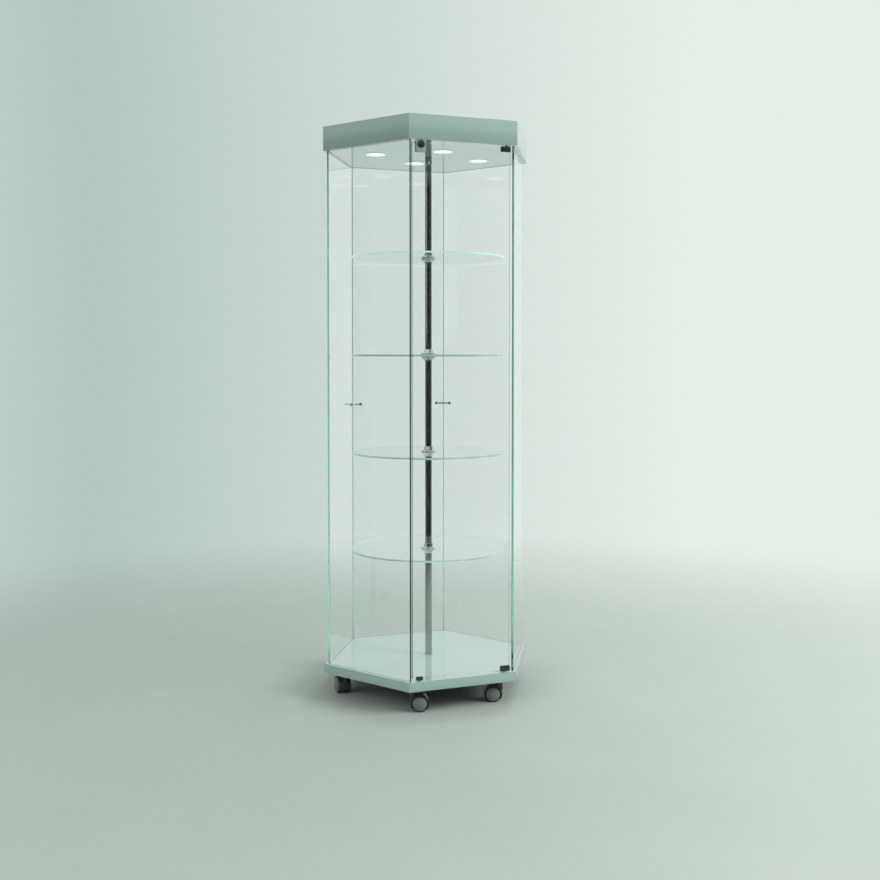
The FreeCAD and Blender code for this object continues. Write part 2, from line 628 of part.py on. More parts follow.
def make_lock_cam():
    """The cam, level while the door is free; it turns up into the ceiling to lock it."""
    half = CAM_WIDTH / 2
    arm_end = LOCK_AXIS_X + CAM_REACH - half
    cam = rod_y(CAM_EYE_RADIUS, CAM_FRONT, CAM_BACK, LOCK_AXIS_X, LOCK_AXIS_Z)
    cam = cam.fuse(block(LOCK_AXIS_X, arm_end, CAM_FRONT, CAM_BACK, LOCK_AXIS_Z - half, LOCK_AXIS_Z + half))
    cam = cam.fuse(rod_y(half, CAM_FRONT, CAM_BACK, arm_end, LOCK_AXIS_Z)).removeSplitter()
    eye = rod_y(TAIL_RADIUS + SOCKET_FIT, CAM_FRONT, CAM_BACK, LOCK_AXIS_X, LOCK_AXIS_Z)
    save("lock_cam", cam.cut(eye))


def strike_slot(z0, z1):
    """The room for the cam above the ceiling line."""
    x0 = LOCK_AXIS_X - CAM_WIDTH / 2 - STRIKE_CLEARANCE
    x1 = LOCK_AXIS_X + CAM_REACH + STRIKE_CLEARANCE
    return block(x0, x1, CAM_FRONT - STRIKE_CLEARANCE, CAM_BACK + STRIKE_CLEARANCE, z0, z1)


def strike_outline(play, z0, z1):
    """The outline of the strike plate, with play for its recess."""
    x0 = LOCK_AXIS_X - CAM_WIDTH / 2 - STRIKE_CLEARANCE - STRIKE_MARGIN - play
    x1 = LOCK_AXIS_X + CAM_REACH + STRIKE_CLEARANCE + STRIKE_MARGIN + play
    y0 = CAM_FRONT - STRIKE_CLEARANCE - STRIKE_SIDE - play
    y1 = CAM_BACK + STRIKE_CLEARANCE + STRIKE_SIDE + play
    return block(x0, x1, y0, y1, z0, z1)


# ---- top box ----
def make_top_box():
    """Ceiling board, rails, lid and fascia, with every recess of the ceiling."""
    slot_depth = CAM_REACH - LOCK_AXIS_DROP + 2 * STRIKE_CLEARANCE
    ceiling = hexagon(BOARD_APOTHEM, CEILING, CEILING_TOP)
    tools = wall_grooves(CEILING, CEILING + GROOVE_DEPTH)
    tools.append(rod(BOARD_BORE, CEILING, CEILING_TOP))
    tools.append(rod(COLUMN_RADIUS + BUSH_WALL + SOCKET_FIT, BUSH_BOTTOM, CEILING_TOP))
    flange_hole = PIVOT_FLANGE_RADIUS + SOCKET_FIT
    tools.append(rod(flange_hole, CEILING, CEILING + PIVOT_FLANGE, PIVOT_X, -WALL_MIDDLE))
    tools.append(strike_outline(SOCKET_FIT, CEILING, CEILING + STRIKE_PLATE))
    tools.append(strike_slot(CEILING, CEILING + slot_depth))
    for place in spot_places():
        tools.append(rod(spot_sleeve_radius() + SPOT_FIT, CEILING, CEILING_TOP, place.x, place.y))
    for place in bracket_screw_places():
        tools.append(screw_hole(place.x, place.y, CEILING_TOP + BRACKET_SHEET, -1))
    save("ceiling_board", cut_all(ceiling, tools))
    plate = strike_outline(0, CEILING, CEILING + STRIKE_PLATE)
    plate_slot = strike_slot(CEILING - OVERCUT, CEILING + STRIKE_PLATE + OVERCUT)
    save("lock_strike_plate", plate.cut(plate_slot))
    save("top_box_rails", *mitred_strips(BOARD_APOTHEM, RAIL_THICKNESS, CEILING_TOP, LID_BOTTOM))
    save("top_box_fascia", *mitred_strips(EDGE_APOTHEM, EDGE_STRIP, CEILING, TOTAL_HEIGHT))
    lid = hexagon(BOARD_APOTHEM - BOARD_CLEARANCE, LID_BOTTOM, LID_TOP)
    save("top_box_lid", lid.cut(rod(GROMMET_RADIUS, LID_BOTTOM, LID_TOP, 0, GROMMET_Y)))
    make_cable_grommet()


def make_cable_grommet():
    """The rubber grommet of the lid, with a lip on either side of the board."""
    grommet = rod(GROMMET_RADIUS - SOCKET_FIT, LID_BOTTOM, LID_TOP, 0, GROMMET_Y)
    lip = GROMMET_RADIUS + GROMMET_LIP_WIDTH
    grommet = grommet.fuse(rod(lip, LID_BOTTOM - GROMMET_LIP, LID_BOTTOM, 0, GROMMET_Y))
    grommet = grommet.fuse(rod(lip, LID_TOP, LID_TOP + GROMMET_LIP, 0, GROMMET_Y))
    bore = rod(GROMMET_BORE, LID_BOTTOM - GROMMET_LIP, LID_TOP + GROMMET_LIP, 0, GROMMET_Y)
    save("cable_grommet", grommet.cut(bore))


def spot_sleeve_radius():
    return SPOT_RING_RADIUS - SPOT_RING_LIP + SPOT_SLEEVE


def make_spots():
    """Four recessed spots: a ring with its sleeve, a lens that rests in it and a can above."""
    rings = []
    lenses = []
    cans = []
    window = SPOT_RING_RADIUS - SPOT_RING_LIP
    ledge_radius = window - SPOT_LEDGE
    for place in spot_places():
        low = CEILING - SPOT_RING
        sleeve_top = CEILING + SPOT_SLEEVE_HEIGHT
        ring = revolved([
            (ledge_radius, low + SPOT_RING_BEVEL),
            (ledge_radius + SPOT_RING_BEVEL, low),
            (SPOT_RING_RADIUS - SPOT_RING_BEVEL, low),
            (SPOT_RING_RADIUS, low + SPOT_RING_BEVEL),
            (SPOT_RING_RADIUS, CEILING),
            (spot_sleeve_radius(), CEILING),
            (spot_sleeve_radius(), sleeve_top),
            (window, sleeve_top),
            (window, CEILING),
            (ledge_radius, CEILING),
        ])
        lens = rod(window - SPOT_FIT, CEILING, CEILING + SPOT_LENS)
        can_low = sleeve_top
        can_top = can_low + SPOT_CAN_HEIGHT
        can = rod(spot_sleeve_radius(), can_low, can_top)
        can = can.cut(rod(spot_sleeve_radius() - SPOT_CAN_WALL, can_low, can_top - SPOT_CAN_WALL))
        for shape, group in ((ring, rings), (lens, lenses), (can, cans)):
            shape.translate(place)
            group.append(shape)
    save("spot_rings", *rings)
    save("spot_lenses", *lenses)
    save("spot_cans", *cans)


def make_drive():
    """Upper bush, gear motor on its bracket, and the lamp transformer, all above the ceiling."""
    sleeve_radius = COLUMN_RADIUS + BUSH_WALL
    bush = rod(sleeve_radius, BUSH_BOTTOM, CEILING_TOP)
    bush = bush.fuse(rod(sleeve_radius + BUSH_FLANGE_WIDTH, CEILING_TOP, BUSH_TOP))
    save("top_bush", bush.removeSplitter().cut(rod(BORE_RADIUS, BUSH_BOTTOM, BUSH_TOP)))
    motor = rod(MOTOR_RADIUS, MOTOR_BOTTOM, MOTOR_TOP)
    motor = motor.fuse(rod(MOTOR_NOSE_RADIUS, NOSE_BOTTOM, MOTOR_BOTTOM))
    shaft_top = NOSE_BOTTOM + SHAFT_IN_MOTOR
    save("gear_motor", motor.cut(rod(SHAFT_RADIUS + RUNNING_FIT, NOSE_BOTTOM, shaft_top + MOTOR_GAP)))
    half_span = BRACKET_SPAN / 2
    half_depth = BRACKET_DEPTH / 2
    deck_low = MOTOR_BOTTOM - BRACKET_SHEET
    foot_high = CEILING_TOP + BRACKET_SHEET
    deck = block(-half_span, half_span, -half_depth, half_depth, deck_low, MOTOR_BOTTOM)
    bracket = deck.cut(rod(MOTOR_NOSE_RADIUS + SOCKET_FIT, deck_low, MOTOR_BOTTOM))
    for side in (-1, 1):
        x0, x1 = sorted((side * half_span, side * (half_span - BRACKET_SHEET)))
        bracket = bracket.fuse(block(x0, x1, -half_depth, half_depth, CEILING_TOP, MOTOR_BOTTOM))
        f0, f1 = sorted((side * (half_span - BRACKET_SHEET), side * (half_span + BRACKET_FOOT)))
        bracket = bracket.fuse(block(f0, f1, -half_depth, half_depth, CEILING_TOP, foot_high))
    bracket = bracket.removeSplitter()
    holes = [screw_hole(p.x, p.y, foot_high, -1) for p in bracket_screw_places()]
    save("motor_bracket", cut_all(bracket, holes))
    screws = [countersunk_screw(p.x, p.y, foot_high, -1) for p in bracket_screw_places()]
    save("bracket_screws", *screws)
    size = TRANSFORMER_SIZE
    corner = TRANSFORMER_PLACE - V(size.x / 2, size.y / 2, 0) + V(0, 0, CEILING_TOP)
    save("lamp_transformer", Part.makeBox(size.x, size.y, size.z, corner))


# ---- carousel ----
def shelf_levels():
    """Height of the middle of each shelf."""
    return [BASE_TOP + FIRST_SHELF + SHELF_PITCH * i for i in range(SHELF_COUNT)]


def make_column():
    """The turning column with its foot and the coupling to the drive."""
    save("column", tube(COLUMN_RADIUS, TUBE_BORE, COLUMN_BOTTOM, COLUMN_TOP))
    foot = rod(COLUMN_RADIUS - SOCKET_FIT, FOOT_BOTTOM, COLUMN_BOTTOM)
    foot = foot.fuse(rod(TUBE_BORE - SOCKET_FIT, COLUMN_BOTTOM, COLUMN_BOTTOM + FOOT_SPIGOT))
    save("column_foot", foot.removeSplitter())
    flange_top = COLUMN_TOP + COUPLING_FLANGE
    coupling = rod(TUBE_BORE - SOCKET_FIT, COLUMN_TOP - COUPLING_SPIGOT, COLUMN_TOP)
    coupling = coupling.fuse(rod(COLUMN_RADIUS, COLUMN_TOP, flange_top))
    coupling = coupling.fuse(rod(COUPLING_HUB_RADIUS, flange_top, COUPLING_TOP)).removeSplitter()
    shaft_low = COUPLING_TOP - SHAFT_GRIP
    coupling = coupling.cut(rod(SHAFT_RADIUS + SOCKET_FIT, shaft_low, COUPLING_TOP))
    shaft = rod(SHAFT_RADIUS, shaft_low, NOSE_BOTTOM + SHAFT_IN_MOTOR)
    save("drive_coupling", coupling, shaft)


def hub_under_shelf(top):
    """The cone that carries a shelf from below."""
    return revolved([
        (COLLAR_BORE, top),
        (FLANGE_RADIUS, top),
        (FLANGE_RADIUS, top - HUB_LIP),
        (BOSS_RADIUS, top - HUB_HEIGHT + COLLAR_BEVEL),
        (BOSS_RADIUS - COLLAR_BEVEL, top - HUB_HEIGHT),
        (COLLAR_BORE, top - HUB_HEIGHT),
    ])


def clamp_over_shelf(low):
    """The flange and boss that hold a shelf from above."""
    flange_top = low + FLANGE_THICKNESS
    boss_top = low + BOSS_HEIGHT
    return revolved([
        (COLLAR_BORE, low),
        (FLANGE_RADIUS, low),
        (FLANGE_RADIUS, flange_top - COLLAR_BEVEL),
        (FLANGE_RADIUS - COLLAR_BEVEL, flange_top),
        (BOSS_RADIUS, flange_top),
        (BOSS_RADIUS, boss_top - COLLAR_BEVEL),
        (BOSS_RADIUS - COLLAR_BEVEL, boss_top),
        (COLLAR_BORE, boss_top),
    ])


def make_shelves():
    """Round glass shelves, each gripped between a hub and a clamp over thin washers."""
    hubs = []
    clamps = []
    washers = []
    grubs = []
    hole = COLUMN_RADIUS + SHELF_HOLE_CLEARANCE
    for index, level in enumerate(shelf_levels()):
        low = level - GLASS / 2
        high = level + GLASS / 2
        save("glass_shelf_" + str(index + 1), tube(SHELF_RADIUS, hole, low, high))
        for z0 in (low - WASHER_THICKNESS, high):
            washers.append(tube(FLANGE_RADIUS - WASHER_INSET, hole, z0, z0 + WASHER_THICKNESS))
        hub_top = low - WASHER_THICKNESS
        clamp_low = high + WASHER_THICKNESS
        hub = hub_under_shelf(hub_top)
        clamp = clamp_over_shelf(clamp_low)
        hub_screw_z = hub_top - HUB_HEIGHT + 2 * GRUB_RADIUS
        clamp_screw_z = clamp_low + (FLANGE_THICKNESS + BOSS_HEIGHT) / 2
        hubs.append(hub.cut(grub_screw(hub_screw_z, GRUB_PLAY)))
        clamps.append(clamp.cut(grub_screw(clamp_screw_z, GRUB_PLAY)))
        grubs.append(grub_screw(hub_screw_z, 0))
        grubs.append(grub_screw(clamp_screw_z, 0))
    save("shelf_hubs", *hubs)
    save("shelf_clamps", *clamps)
    save("shelf_washers", *washers)
    save("shelf_grub_screws", *grubs)


def grub_screw(z, play):
    """A level screw towards -Y, from just clear of the column to the face of the boss."""
    near = COLUMN_RADIUS + (0 if play else COLLAR_CLEARANCE)
    far = BOSS_RADIUS + (OVERCUT if play else -GRUB_INSET)
    return Part.makeCylinder(GRUB_RADIUS + play, far - near, V(0, -near, z), V(0, -1, 0))


# ---- castors ----
def wheel():
    """One wheel with its axis along Y, its inner face at y = 0 and its axle at the origin."""
    width = WHEEL_WIDTH
    bevel = WHEEL_ROUNDING
    tread = revolved([
        (0, 0),
        (WHEEL_RADIUS - bevel, 0),
        (WHEEL_RADIUS, bevel),
        (WHEEL_RADIUS, width - bevel),
        (WHEEL_RADIUS - bevel, width),
        (0, width),
    ])
    sphere_radius = (WHEEL_CAP_RADIUS ** 2 + WHEEL_DOME ** 2) / (2 * WHEEL_DOME)
    dome = Part.makeSphere(sphere_radius, V(0, 0, width + WHEEL_DOME - sphere_radius))
    dome = dome.common(rod(WHEEL_RADIUS, width, width + WHEEL_DOME + OVERCUT))
    solid = tread.fuse(dome).cut(rod(AXLE_RADIUS + SOCKET_FIT, 0, width - AXLE_COVER))
    solid.rotate(CENTRE, V(1, 0, 0), -90)
    return solid


def castor_hood():
    """The hood, in the frame of its stem: the axle lies at x = TRAIL, along Y."""
    outer = WHEEL_RADIUS + HOOD_GAP + HOOD_WALL
    inner = outer - HOOD_WALL
    middle = (outer + inner) / 2
    half_web = WEB_THICKNESS / 2
    half_width = half_web + WHEEL_SIDE_GAP + WHEEL_WIDTH
    axle = WHEEL_RADIUS
    far = TRAIL + 2 * outer
    skirt_room = block(-far, far, -half_width, half_width, axle - HOOD_SKIRT, axle + outer)
    cover = rod_y(outer, -half_width, half_width, TRAIL, axle)
    cover = cover.cut(rod_y(inner, -half_width, half_width, TRAIL, axle)).common(skirt_room)
    web = rod_y(middle, -half_web, half_web, TRAIL, axle)
    web = web.cut(block(-far, far, -half_web, half_web, axle - outer, WEB_GROUND_GAP))
    neck_top = CASTOR_HEIGHT - PLATE_THICKNESS - NECK_GAP
    socket_low = STEM_END - STEM_FLOOR
    neck = rod(NECK_RADIUS, socket_low, neck_top)
    wheel_room = rod_y(middle, -NECK_RADIUS, NECK_RADIUS, TRAIL, axle)
    slab = block(-NECK_RADIUS, NECK_RADIUS, -half_web, half_web, socket_low, neck_top)
    neck = neck.cut(wheel_room.cut(slab))
    below_cover = block(-far, far, half_web, NECK_RADIUS, socket_low, axle + inner)
    neck = neck.cut(below_cover).cut(below_cover.mirror(CENTRE, V(0, 1, 0)))
    hood = cover.fuse([web, neck]).removeSplitter()
    hood = hood.cut(rod(STEM_RADIUS + STEM_FIT, STEM_END, neck_top))
    return hood.cut(rod_y(AXLE_RADIUS + RUNNING_FIT, -half_width, half_width, TRAIL, axle))


def castor_wheels():
    """Both wheels and the axle that they are pressed on, in the frame of the stem."""
    inner = WEB_THICKNESS / 2 + WHEEL_SIDE_GAP
    right = wheel()
    right.translate(V(TRAIL, inner, WHEEL_RADIUS))
    left = wheel()
    left.rotate(CENTRE, UP, 180)
    left.translate(V(TRAIL, -inner, WHEEL_RADIUS))
    axle_end = inner + WHEEL_WIDTH - AXLE_COVER - SOCKET_FIT
    return [left, right, rod_y(AXLE_RADIUS, -axle_end, axle_end, TRAIL, WHEEL_RADIUS)]


def castor_plate():
    """The screwed top plate with the riveted stem."""
    half = PLATE_SIZE / 2
    low = CASTOR_HEIGHT - PLATE_THICKNESS
    plate = block(-half, half, -half, half, low, CASTOR_HEIGHT)
    corners = [edge for edge in plate.Edges if edge.BoundBox.ZLength > PLATE_THICKNESS / 2]
    plate = plate.makeFillet(PLATE_CORNER, corners)
    return plate.fuse(rod(STEM_RADIUS, STEM_END, low)).removeSplitter()


def make_castors():
    """Six twin-wheel castors, each turned to its own heading."""
    plates = []
    screws = []
    head_z = BASE_BOTTOM - PLATE_THICKNESS
    for place in castor_screw_places():
        screws.append(countersunk_screw(place.x, place.y, head_z, 1))
    holes = [screw_hole(p.x, p.y, head_z, 1) for p in castor_screw_places()]
    for index, angle in enumerate(castor_angles()):
        plate = castor_plate()
        plate.translate(V(CASTOR_CIRCLE, 0, 0))
        plates.append(cut_all(turned(plate, angle), holes))
        spin = FreeCAD.Rotation(UP, angle)
        stem = spin.multVec(V(CASTOR_CIRCLE, 0, 0))
        hood = turned(castor_hood(), CASTOR_HEADINGS[index])
        hood.translate(stem)
        save("castor_" + str(index + 1) + "_hood", hood)
        wheels = []
        for solid in castor_wheels():
            piece = turned(solid, CASTOR_HEADINGS[index])
            piece.translate(stem)
            wheels.append(piece)
        save("castor_" + str(index + 1) + "_wheels", *wheels)
    save("castor_plates", *plates)
    save("castor_screws", *screws)


os.makedirs("parts", exist_ok=True)
make_base()
make_thrust_washers()
make_walls()
make_pivots()
make_door()
make_lock()
make_top_box()
make_spots()
make_drive()
make_column()
make_shelves()
make_castors()
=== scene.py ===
# %% [markdown]
# # A revolving glass display cabinet
#
# The real object is a hexagonal showcase: six sheets of float glass stand between a laminated base on
# castors and a deep top box with four spots. A polished column in the middle turns four round glass
# shelves. The construction is already there as solids that can't be moved. This lesson gives every surface
# its finish, and models again, with soft edges, each piece whose edges catch the light.

# %% Load the fixed frame
import json
import math

import bmesh
import bpy
from mathutils import Matrix, Vector


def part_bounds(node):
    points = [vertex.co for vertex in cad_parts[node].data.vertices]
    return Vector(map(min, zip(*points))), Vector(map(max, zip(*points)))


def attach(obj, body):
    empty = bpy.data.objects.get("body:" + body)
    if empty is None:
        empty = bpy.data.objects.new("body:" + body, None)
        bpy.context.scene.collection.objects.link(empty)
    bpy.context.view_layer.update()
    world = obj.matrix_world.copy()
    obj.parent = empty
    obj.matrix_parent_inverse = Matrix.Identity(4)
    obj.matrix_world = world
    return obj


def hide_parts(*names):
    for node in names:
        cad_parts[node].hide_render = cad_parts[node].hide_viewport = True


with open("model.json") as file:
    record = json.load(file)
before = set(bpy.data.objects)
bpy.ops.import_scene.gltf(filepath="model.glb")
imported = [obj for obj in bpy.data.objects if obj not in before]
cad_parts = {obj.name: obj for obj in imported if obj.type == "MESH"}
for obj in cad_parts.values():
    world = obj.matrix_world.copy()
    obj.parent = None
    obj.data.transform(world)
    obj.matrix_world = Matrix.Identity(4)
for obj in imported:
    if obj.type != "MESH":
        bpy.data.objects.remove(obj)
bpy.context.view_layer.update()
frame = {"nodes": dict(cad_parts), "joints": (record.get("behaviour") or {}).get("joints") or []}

nodes = frame["nodes"]
joints = {joint["name"]: joint for joint in frame["joints"]}

# %% [markdown]
# ## Working by hand, in code
#
# An operator acts on whatever is selected, so each step starts from nothing selected. These helpers do the
# handwork that every piece needs: take hold of a piece, pick faces by where they lie or face, apply a
# modifier, and bake the piece's place into its mesh, because a finished piece has to sit at the origin.

# %% Selecting
def release():
    """Nothing is selected, in object mode."""
    if bpy.context.object and bpy.context.object.mode != "OBJECT":
        bpy.ops.object.mode_set(mode="OBJECT")
    bpy.ops.object.select_all(action="DESELECT")


def take(piece):
    """Only this piece is selected and active, in object mode."""
    release()
    piece.select_set(True)
    bpy.context.view_layer.objects.active = piece


def edit(piece, kind="FACE", picked="DESELECT"):
    """Edit mode, with nothing picked or with everything."""
    take(piece)
    bpy.ops.object.mode_set(mode="EDIT")
    bpy.ops.mesh.select_mode(type=kind)
    bpy.ops.mesh.select_all(action=picked)


def pick_faces(piece, wanted):
    """Picks the faces whose centre and normal pass the test, in edit mode."""
    mesh = bmesh.from_edit_mesh(piece.data)
    for face in mesh.faces:
        face.select_set(bool(wanted(face.calc_center_median(), face.normal)))
    bmesh.update_edit_mesh(piece.data)


# %% Finishing a mesh
SHARP_ANGLE = math.radians(32)   # edges sharper than this stay crisp
MERGE_DISTANCE = 0.00001


def bake_place(piece):
    take(piece)
    bpy.ops.object.transform_apply(location=True, rotation=True, scale=True)


def finish_mesh(piece):
    """Back to object mode, doubles merged, normals out, place baked in."""
    bpy.ops.mesh.select_all(action="SELECT")
    bpy.ops.mesh.remove_doubles(threshold=MERGE_DISTANCE)
    bpy.ops.mesh.normals_make_consistent(inside=False)
    bpy.ops.object.mode_set(mode="OBJECT")
    bake_place(piece)
    return piece


def apply_modifier(piece, kind, **settings):
    """Adds a modifier, sets it and applies it."""
    take(piece)
    modifier = piece.modifiers.new(kind.title(), kind)
    for name, value in settings.items():
        setattr(modifier, name, value)
    bpy.ops.object.modifier_apply(modifier=modifier.name)


def smooth(piece):
    take(piece)
    bpy.ops.object.shade_smooth_by_angle(angle=SHARP_ANGLE)


def bevel_edges(piece, width, segments):
    """Takes off every sharp edge."""
    limit = {"limit_method": "ANGLE", "angle_limit": SHARP_ANGLE}
    apply_modifier(piece, "BEVEL", width=width, segments=segments, **limit)


def round_edges(piece, width, segments=2):
    """Rounds every sharp edge and smooths what lies between."""
    bevel_edges(piece, width, segments)
    smooth(piece)


# %% Handing over
def hand_over(piece, body, slot, *replaced):
    """The piece rides on a body and stands for solid nodes. The slot argument is not used."""
    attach(piece, body)
    if replaced:
        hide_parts(*replaced)
    print(piece.name, len(piece.data.polygons), "faces on", body)


# %% [markdown]
# ## The camera
#
# The camera stands in front of the latch corner, a little over a metre high and almost level, so that the
# upright edges stay upright. The frame is shifted down a little, so the cabinet sits higher in it.

# %% Camera
EYE = Vector((-1.3615, -3.5953, 1.0902))
HEADING = math.radians(21.311)       # from +Y towards +X
TILT = math.radians(-1.767)
LENS = 48.54
FRAME_SHIFT = -0.06                  # in widths of the frame

release()
bpy.ops.object.camera_add(location=EYE, rotation=(math.pi / 2 + TILT, 0, -HEADING))
camera = bpy.context.object
camera.name = "camera"
camera.data.lens = LENS
camera.data.shift_y = FRAME_SHIFT
camera.data.clip_end = 100
bpy.context.scene.camera = camera
print("camera", round(EYE.xy.length, 3), "m from the column, lens", LENS)

# %% [markdown]
# ## Shader maths that reads as maths
#
# A finish is a small net of nodes. Sums between sockets are written as Python expressions: a Wire holds an
# output socket and overloads the operators, also the other way round, so that 1 - mask works. Every other
# node comes from one method, which sets the node up first and then joins or fills its sockets.

# %% Wires
class Wire:
    """An output socket that can be used in an expression."""

    def __init__(self, finish, socket):
        self.finish = finish
        self.socket = socket

    def maths(self, operation, other, reflected=False):
        first, second = (other, self) if reflected else (self, other)
        return self.finish.node("ShaderNodeMath", {"operation": operation}, {0: first, 1: second}).wire()

    def __add__(self, other):
        return self.maths("ADD", other)

    def __radd__(self, other):
        return self.maths("ADD", other, True)

    def __sub__(self, other):
        return self.maths("SUBTRACT", other)

    def __rsub__(self, other):
        return self.maths("SUBTRACT", other, True)

    def __mul__(self, other):
        return self.maths("MULTIPLY", other)

    def __rmul__(self, other):
        return self.maths("MULTIPLY", other, True)

    def __pow__(self, other):
        return self.maths("POWER", other)

    def __rpow__(self, other):
        return self.maths("POWER", other, True)

    def __abs__(self):
        return self.maths("ABSOLUTE", 0.0)


class Placed:
    """A node that was made by a finish, ready to give its outputs."""

    def __init__(self, finish, made):
        self.finish = finish
        self.made = made

    def wire(self, output=0):
        return Wire(self.finish, self.made.outputs[output])


# %% Finishes
class Finish:
    """One material, or the world, and the method that adds its nodes."""

    def __init__(self, name, owner=None):
        self.owner = owner or bpy.data.materials.new(name)
        self.owner.use_nodes = True
        self.tree = self.owner.node_tree
        self.tree.nodes.clear()

    def node(self, kind, settings=None, sockets=None):
        made = self.tree.nodes.new(kind)
        for name, value in (settings or {}).items():
            if name == "stops":
                self.set_stops(made.color_ramp, value)
            else:
                setattr(made, name, value)
        for name, value in (sockets or {}).items():
            if isinstance(value, Wire):
                self.tree.links.new(value.socket, made.inputs[name])
            else:
                made.inputs[name].default_value = value
        return Placed(self, made)

    def set_stops(self, ramp, stops):
        while len(ramp.elements) < len(stops):
            ramp.elements.new(1.0)
        for element, (place, tone) in zip(ramp.elements, stops):
            element.position = place
            element.color = tone

    def place(self, scale=(1, 1, 1)):
        """Object coordinates, stretched."""
        coordinates = self.node("ShaderNodeTexCoord").wire("Object")
        return self.node("ShaderNodeMapping", None, {"Vector": coordinates, "Scale": scale}).wire()

    def parts(self, vector):
        """The three parts of a vector."""
        split = self.node("ShaderNodeSeparateXYZ", None, {"Vector": vector})
        return split.wire("X"), split.wire("Y"), split.wire("Z")

    def noise(self, scale, detail=3.0, stretch=(1, 1, 1), roughness=0.5):
        """Noise from 0 to 1 over the piece."""
        settings = {"noise_dimensions": "3D"}
        sockets = {"Vector": self.place(stretch), "Scale": scale, "Detail": detail, "Roughness": roughness}
        return self.node("ShaderNodeTexNoise", settings, sockets).wire("Fac")

    def blend(self, amount, first, second):
        """A colour between two, by an amount from 0 to 1. The mix node takes colours at its sockets 6 and 7
        and gives one at its output 2."""
        settings = {"data_type": "RGBA", "clamp_factor": True}
        mix = self.node("ShaderNodeMix", settings, {"Factor": amount, 6: first, 7: second})
        return mix.wire(2)

    def ramp(self, amount, stops):
        return self.node("ShaderNodeValToRGB", {"stops": stops}, {"Fac": amount}).wire("Color")

    def limited(self, value, from_low, from_high, to_low=0.0, to_high=1.0):
        """A value from one range, brought into another and kept inside it."""
        sockets = {0: value, 1: from_low, 2: from_high, 3: to_low, 4: to_high}
        return self.node("ShaderNodeMapRange", {"clamp": True}, sockets).wire()

    def spread(self, noise, to_low=0.0, to_high=1.0):
        """The middle of a noise, where most of it lies, brought to a whole range."""
        return self.limited(noise, 0.3, 0.7, to_low, to_high)

    def bump(self, height, strength, distance):
        sockets = {"Height": height, "Strength": strength, "Distance": distance}
        return self.node("ShaderNodeBump", None, sockets).wire("Normal")

    def principled(self, **sockets):
        """The main shader. A socket's name is written with underscores."""
        named = {name.replace("_", " "): value for name, value in sockets.items()}
        return self.node("ShaderNodeBsdfPrincipled", None, named).wire()

    def show(self, shader, volume=None, kind="ShaderNodeOutputMaterial"):
        """Joins the shader to the output and gives the material or world."""
        sockets = {"Surface": shader}
        if volume is not None:
            sockets["Volume"] = volume
        self.node(kind, None, sockets)
        print("finish", self.owner.name, "with", len(self.tree.nodes), "nodes")
        return self.owner


# %% Colours
def colour(red, green, blue):
    """A colour as written in a picture, 0 to 255, as the linear light that nodes use."""
    linear = []
    for value in (red, green, blue):
        share = value / 255
        linear.append(share / 12.92 if share <= 0.04045 else ((share + 0.055) / 1.055) ** 2.4)
    return (*linear, 1.0)


def shaded(tone, share):
    """A share of a colour's light."""
    return tuple(share * value for value in tone[:3]) + (1.0,)


# %% [markdown]
# ## Glass
#
# Float glass is clear across its thickness and green along its length, because the light is filtered a
# little on every millimetre. So the glass bends light as a solid does, and a volume inside takes away red.
# Shadow rays pass straight through, or the lamps outside would leave the inside dark.
#
# Each kind of cut end has its own finish, and these finishes are painted light and shade. The rims of the
# shelves have a painted mint glow from the spots, an emission that is strongest at the top shelf. The free ends
# beside the door gap are painted nearly black, a painted shade. The glued ends make a seam in two painted tones:
# grey-green, a painted shade, at the two rear corners and pale, a painted light, at the two side corners.

# %% Glass finish
GLASS_IOR = 1.5
# Painted glow of the shelf rims: an emission by height, brightest at the top shelf.
PAINTED_RIM_GLOW = (                # from the lowest shelf to the top one
    (0.0, (0.15, 0.19, 0.17, 1.0)), (0.33, (0.14, 0.17, 0.155, 1.0)),
    (0.67, (0.06, 0.10, 0.08, 1.0)), (1.0, (0.33, 0.48, 0.43, 1.0)),
)


def make_glass(name, tint, absorbed, density):
    """Clear float glass: a surface that bends light and a volume that tints it."""
    finish = Finish(name)
    cloud = finish.noise(6.0, 2.0)
    surface = finish.principled(
        Base_Color=finish.blend(finish.spread(cloud), tint, (1.0, 1.0, 1.0, 1.0)),
        Roughness=0.0, IOR=GLASS_IOR, Transmission_Weight=1.0,
    )
    clear = finish.node("ShaderNodeBsdfTransparent", None, {"Color": tint}).wire()
    is_shadow = finish.node("ShaderNodeLightPath").wire("Is Shadow Ray")
    mixed = finish.node("ShaderNodeMixShader", None, {0: is_shadow, 1: surface, 2: clear}).wire()
    dye = {"Color": absorbed, "Density": density}
    return finish.show(mixed, finish.node("ShaderNodeVolumeAbsorption", None, dye).wire())


def make_glass_edge(name, tone, low_height, high_height):
    """The polished rim of a shelf, with a painted mint glow: an emission that is strongest at the top shelf,
    right below the spots."""
    finish = Finish(name)
    height = finish.parts(finish.place())[2]
    glow = finish.ramp(finish.limited(height, low_height, high_height), PAINTED_RIM_GLOW)
    along = finish.noise(5.0, 3.0)
    fine = finish.noise(160.0, 2.0, (1, 1, 0.1))
    patchy = finish.limited(along * 0.75 + fine * 0.25, 0.36, 0.62)
    shader = finish.principled(
        Base_Color=finish.blend(patchy, shaded(tone, 0.62), tone),
        Roughness=finish.spread(fine, 0.08, 0.16),
        IOR=GLASS_IOR,
        Coat_Weight=0.3,
        Emission_Color=glow,
        Emission_Strength=1.0,
    )
    return finish.show(shader)


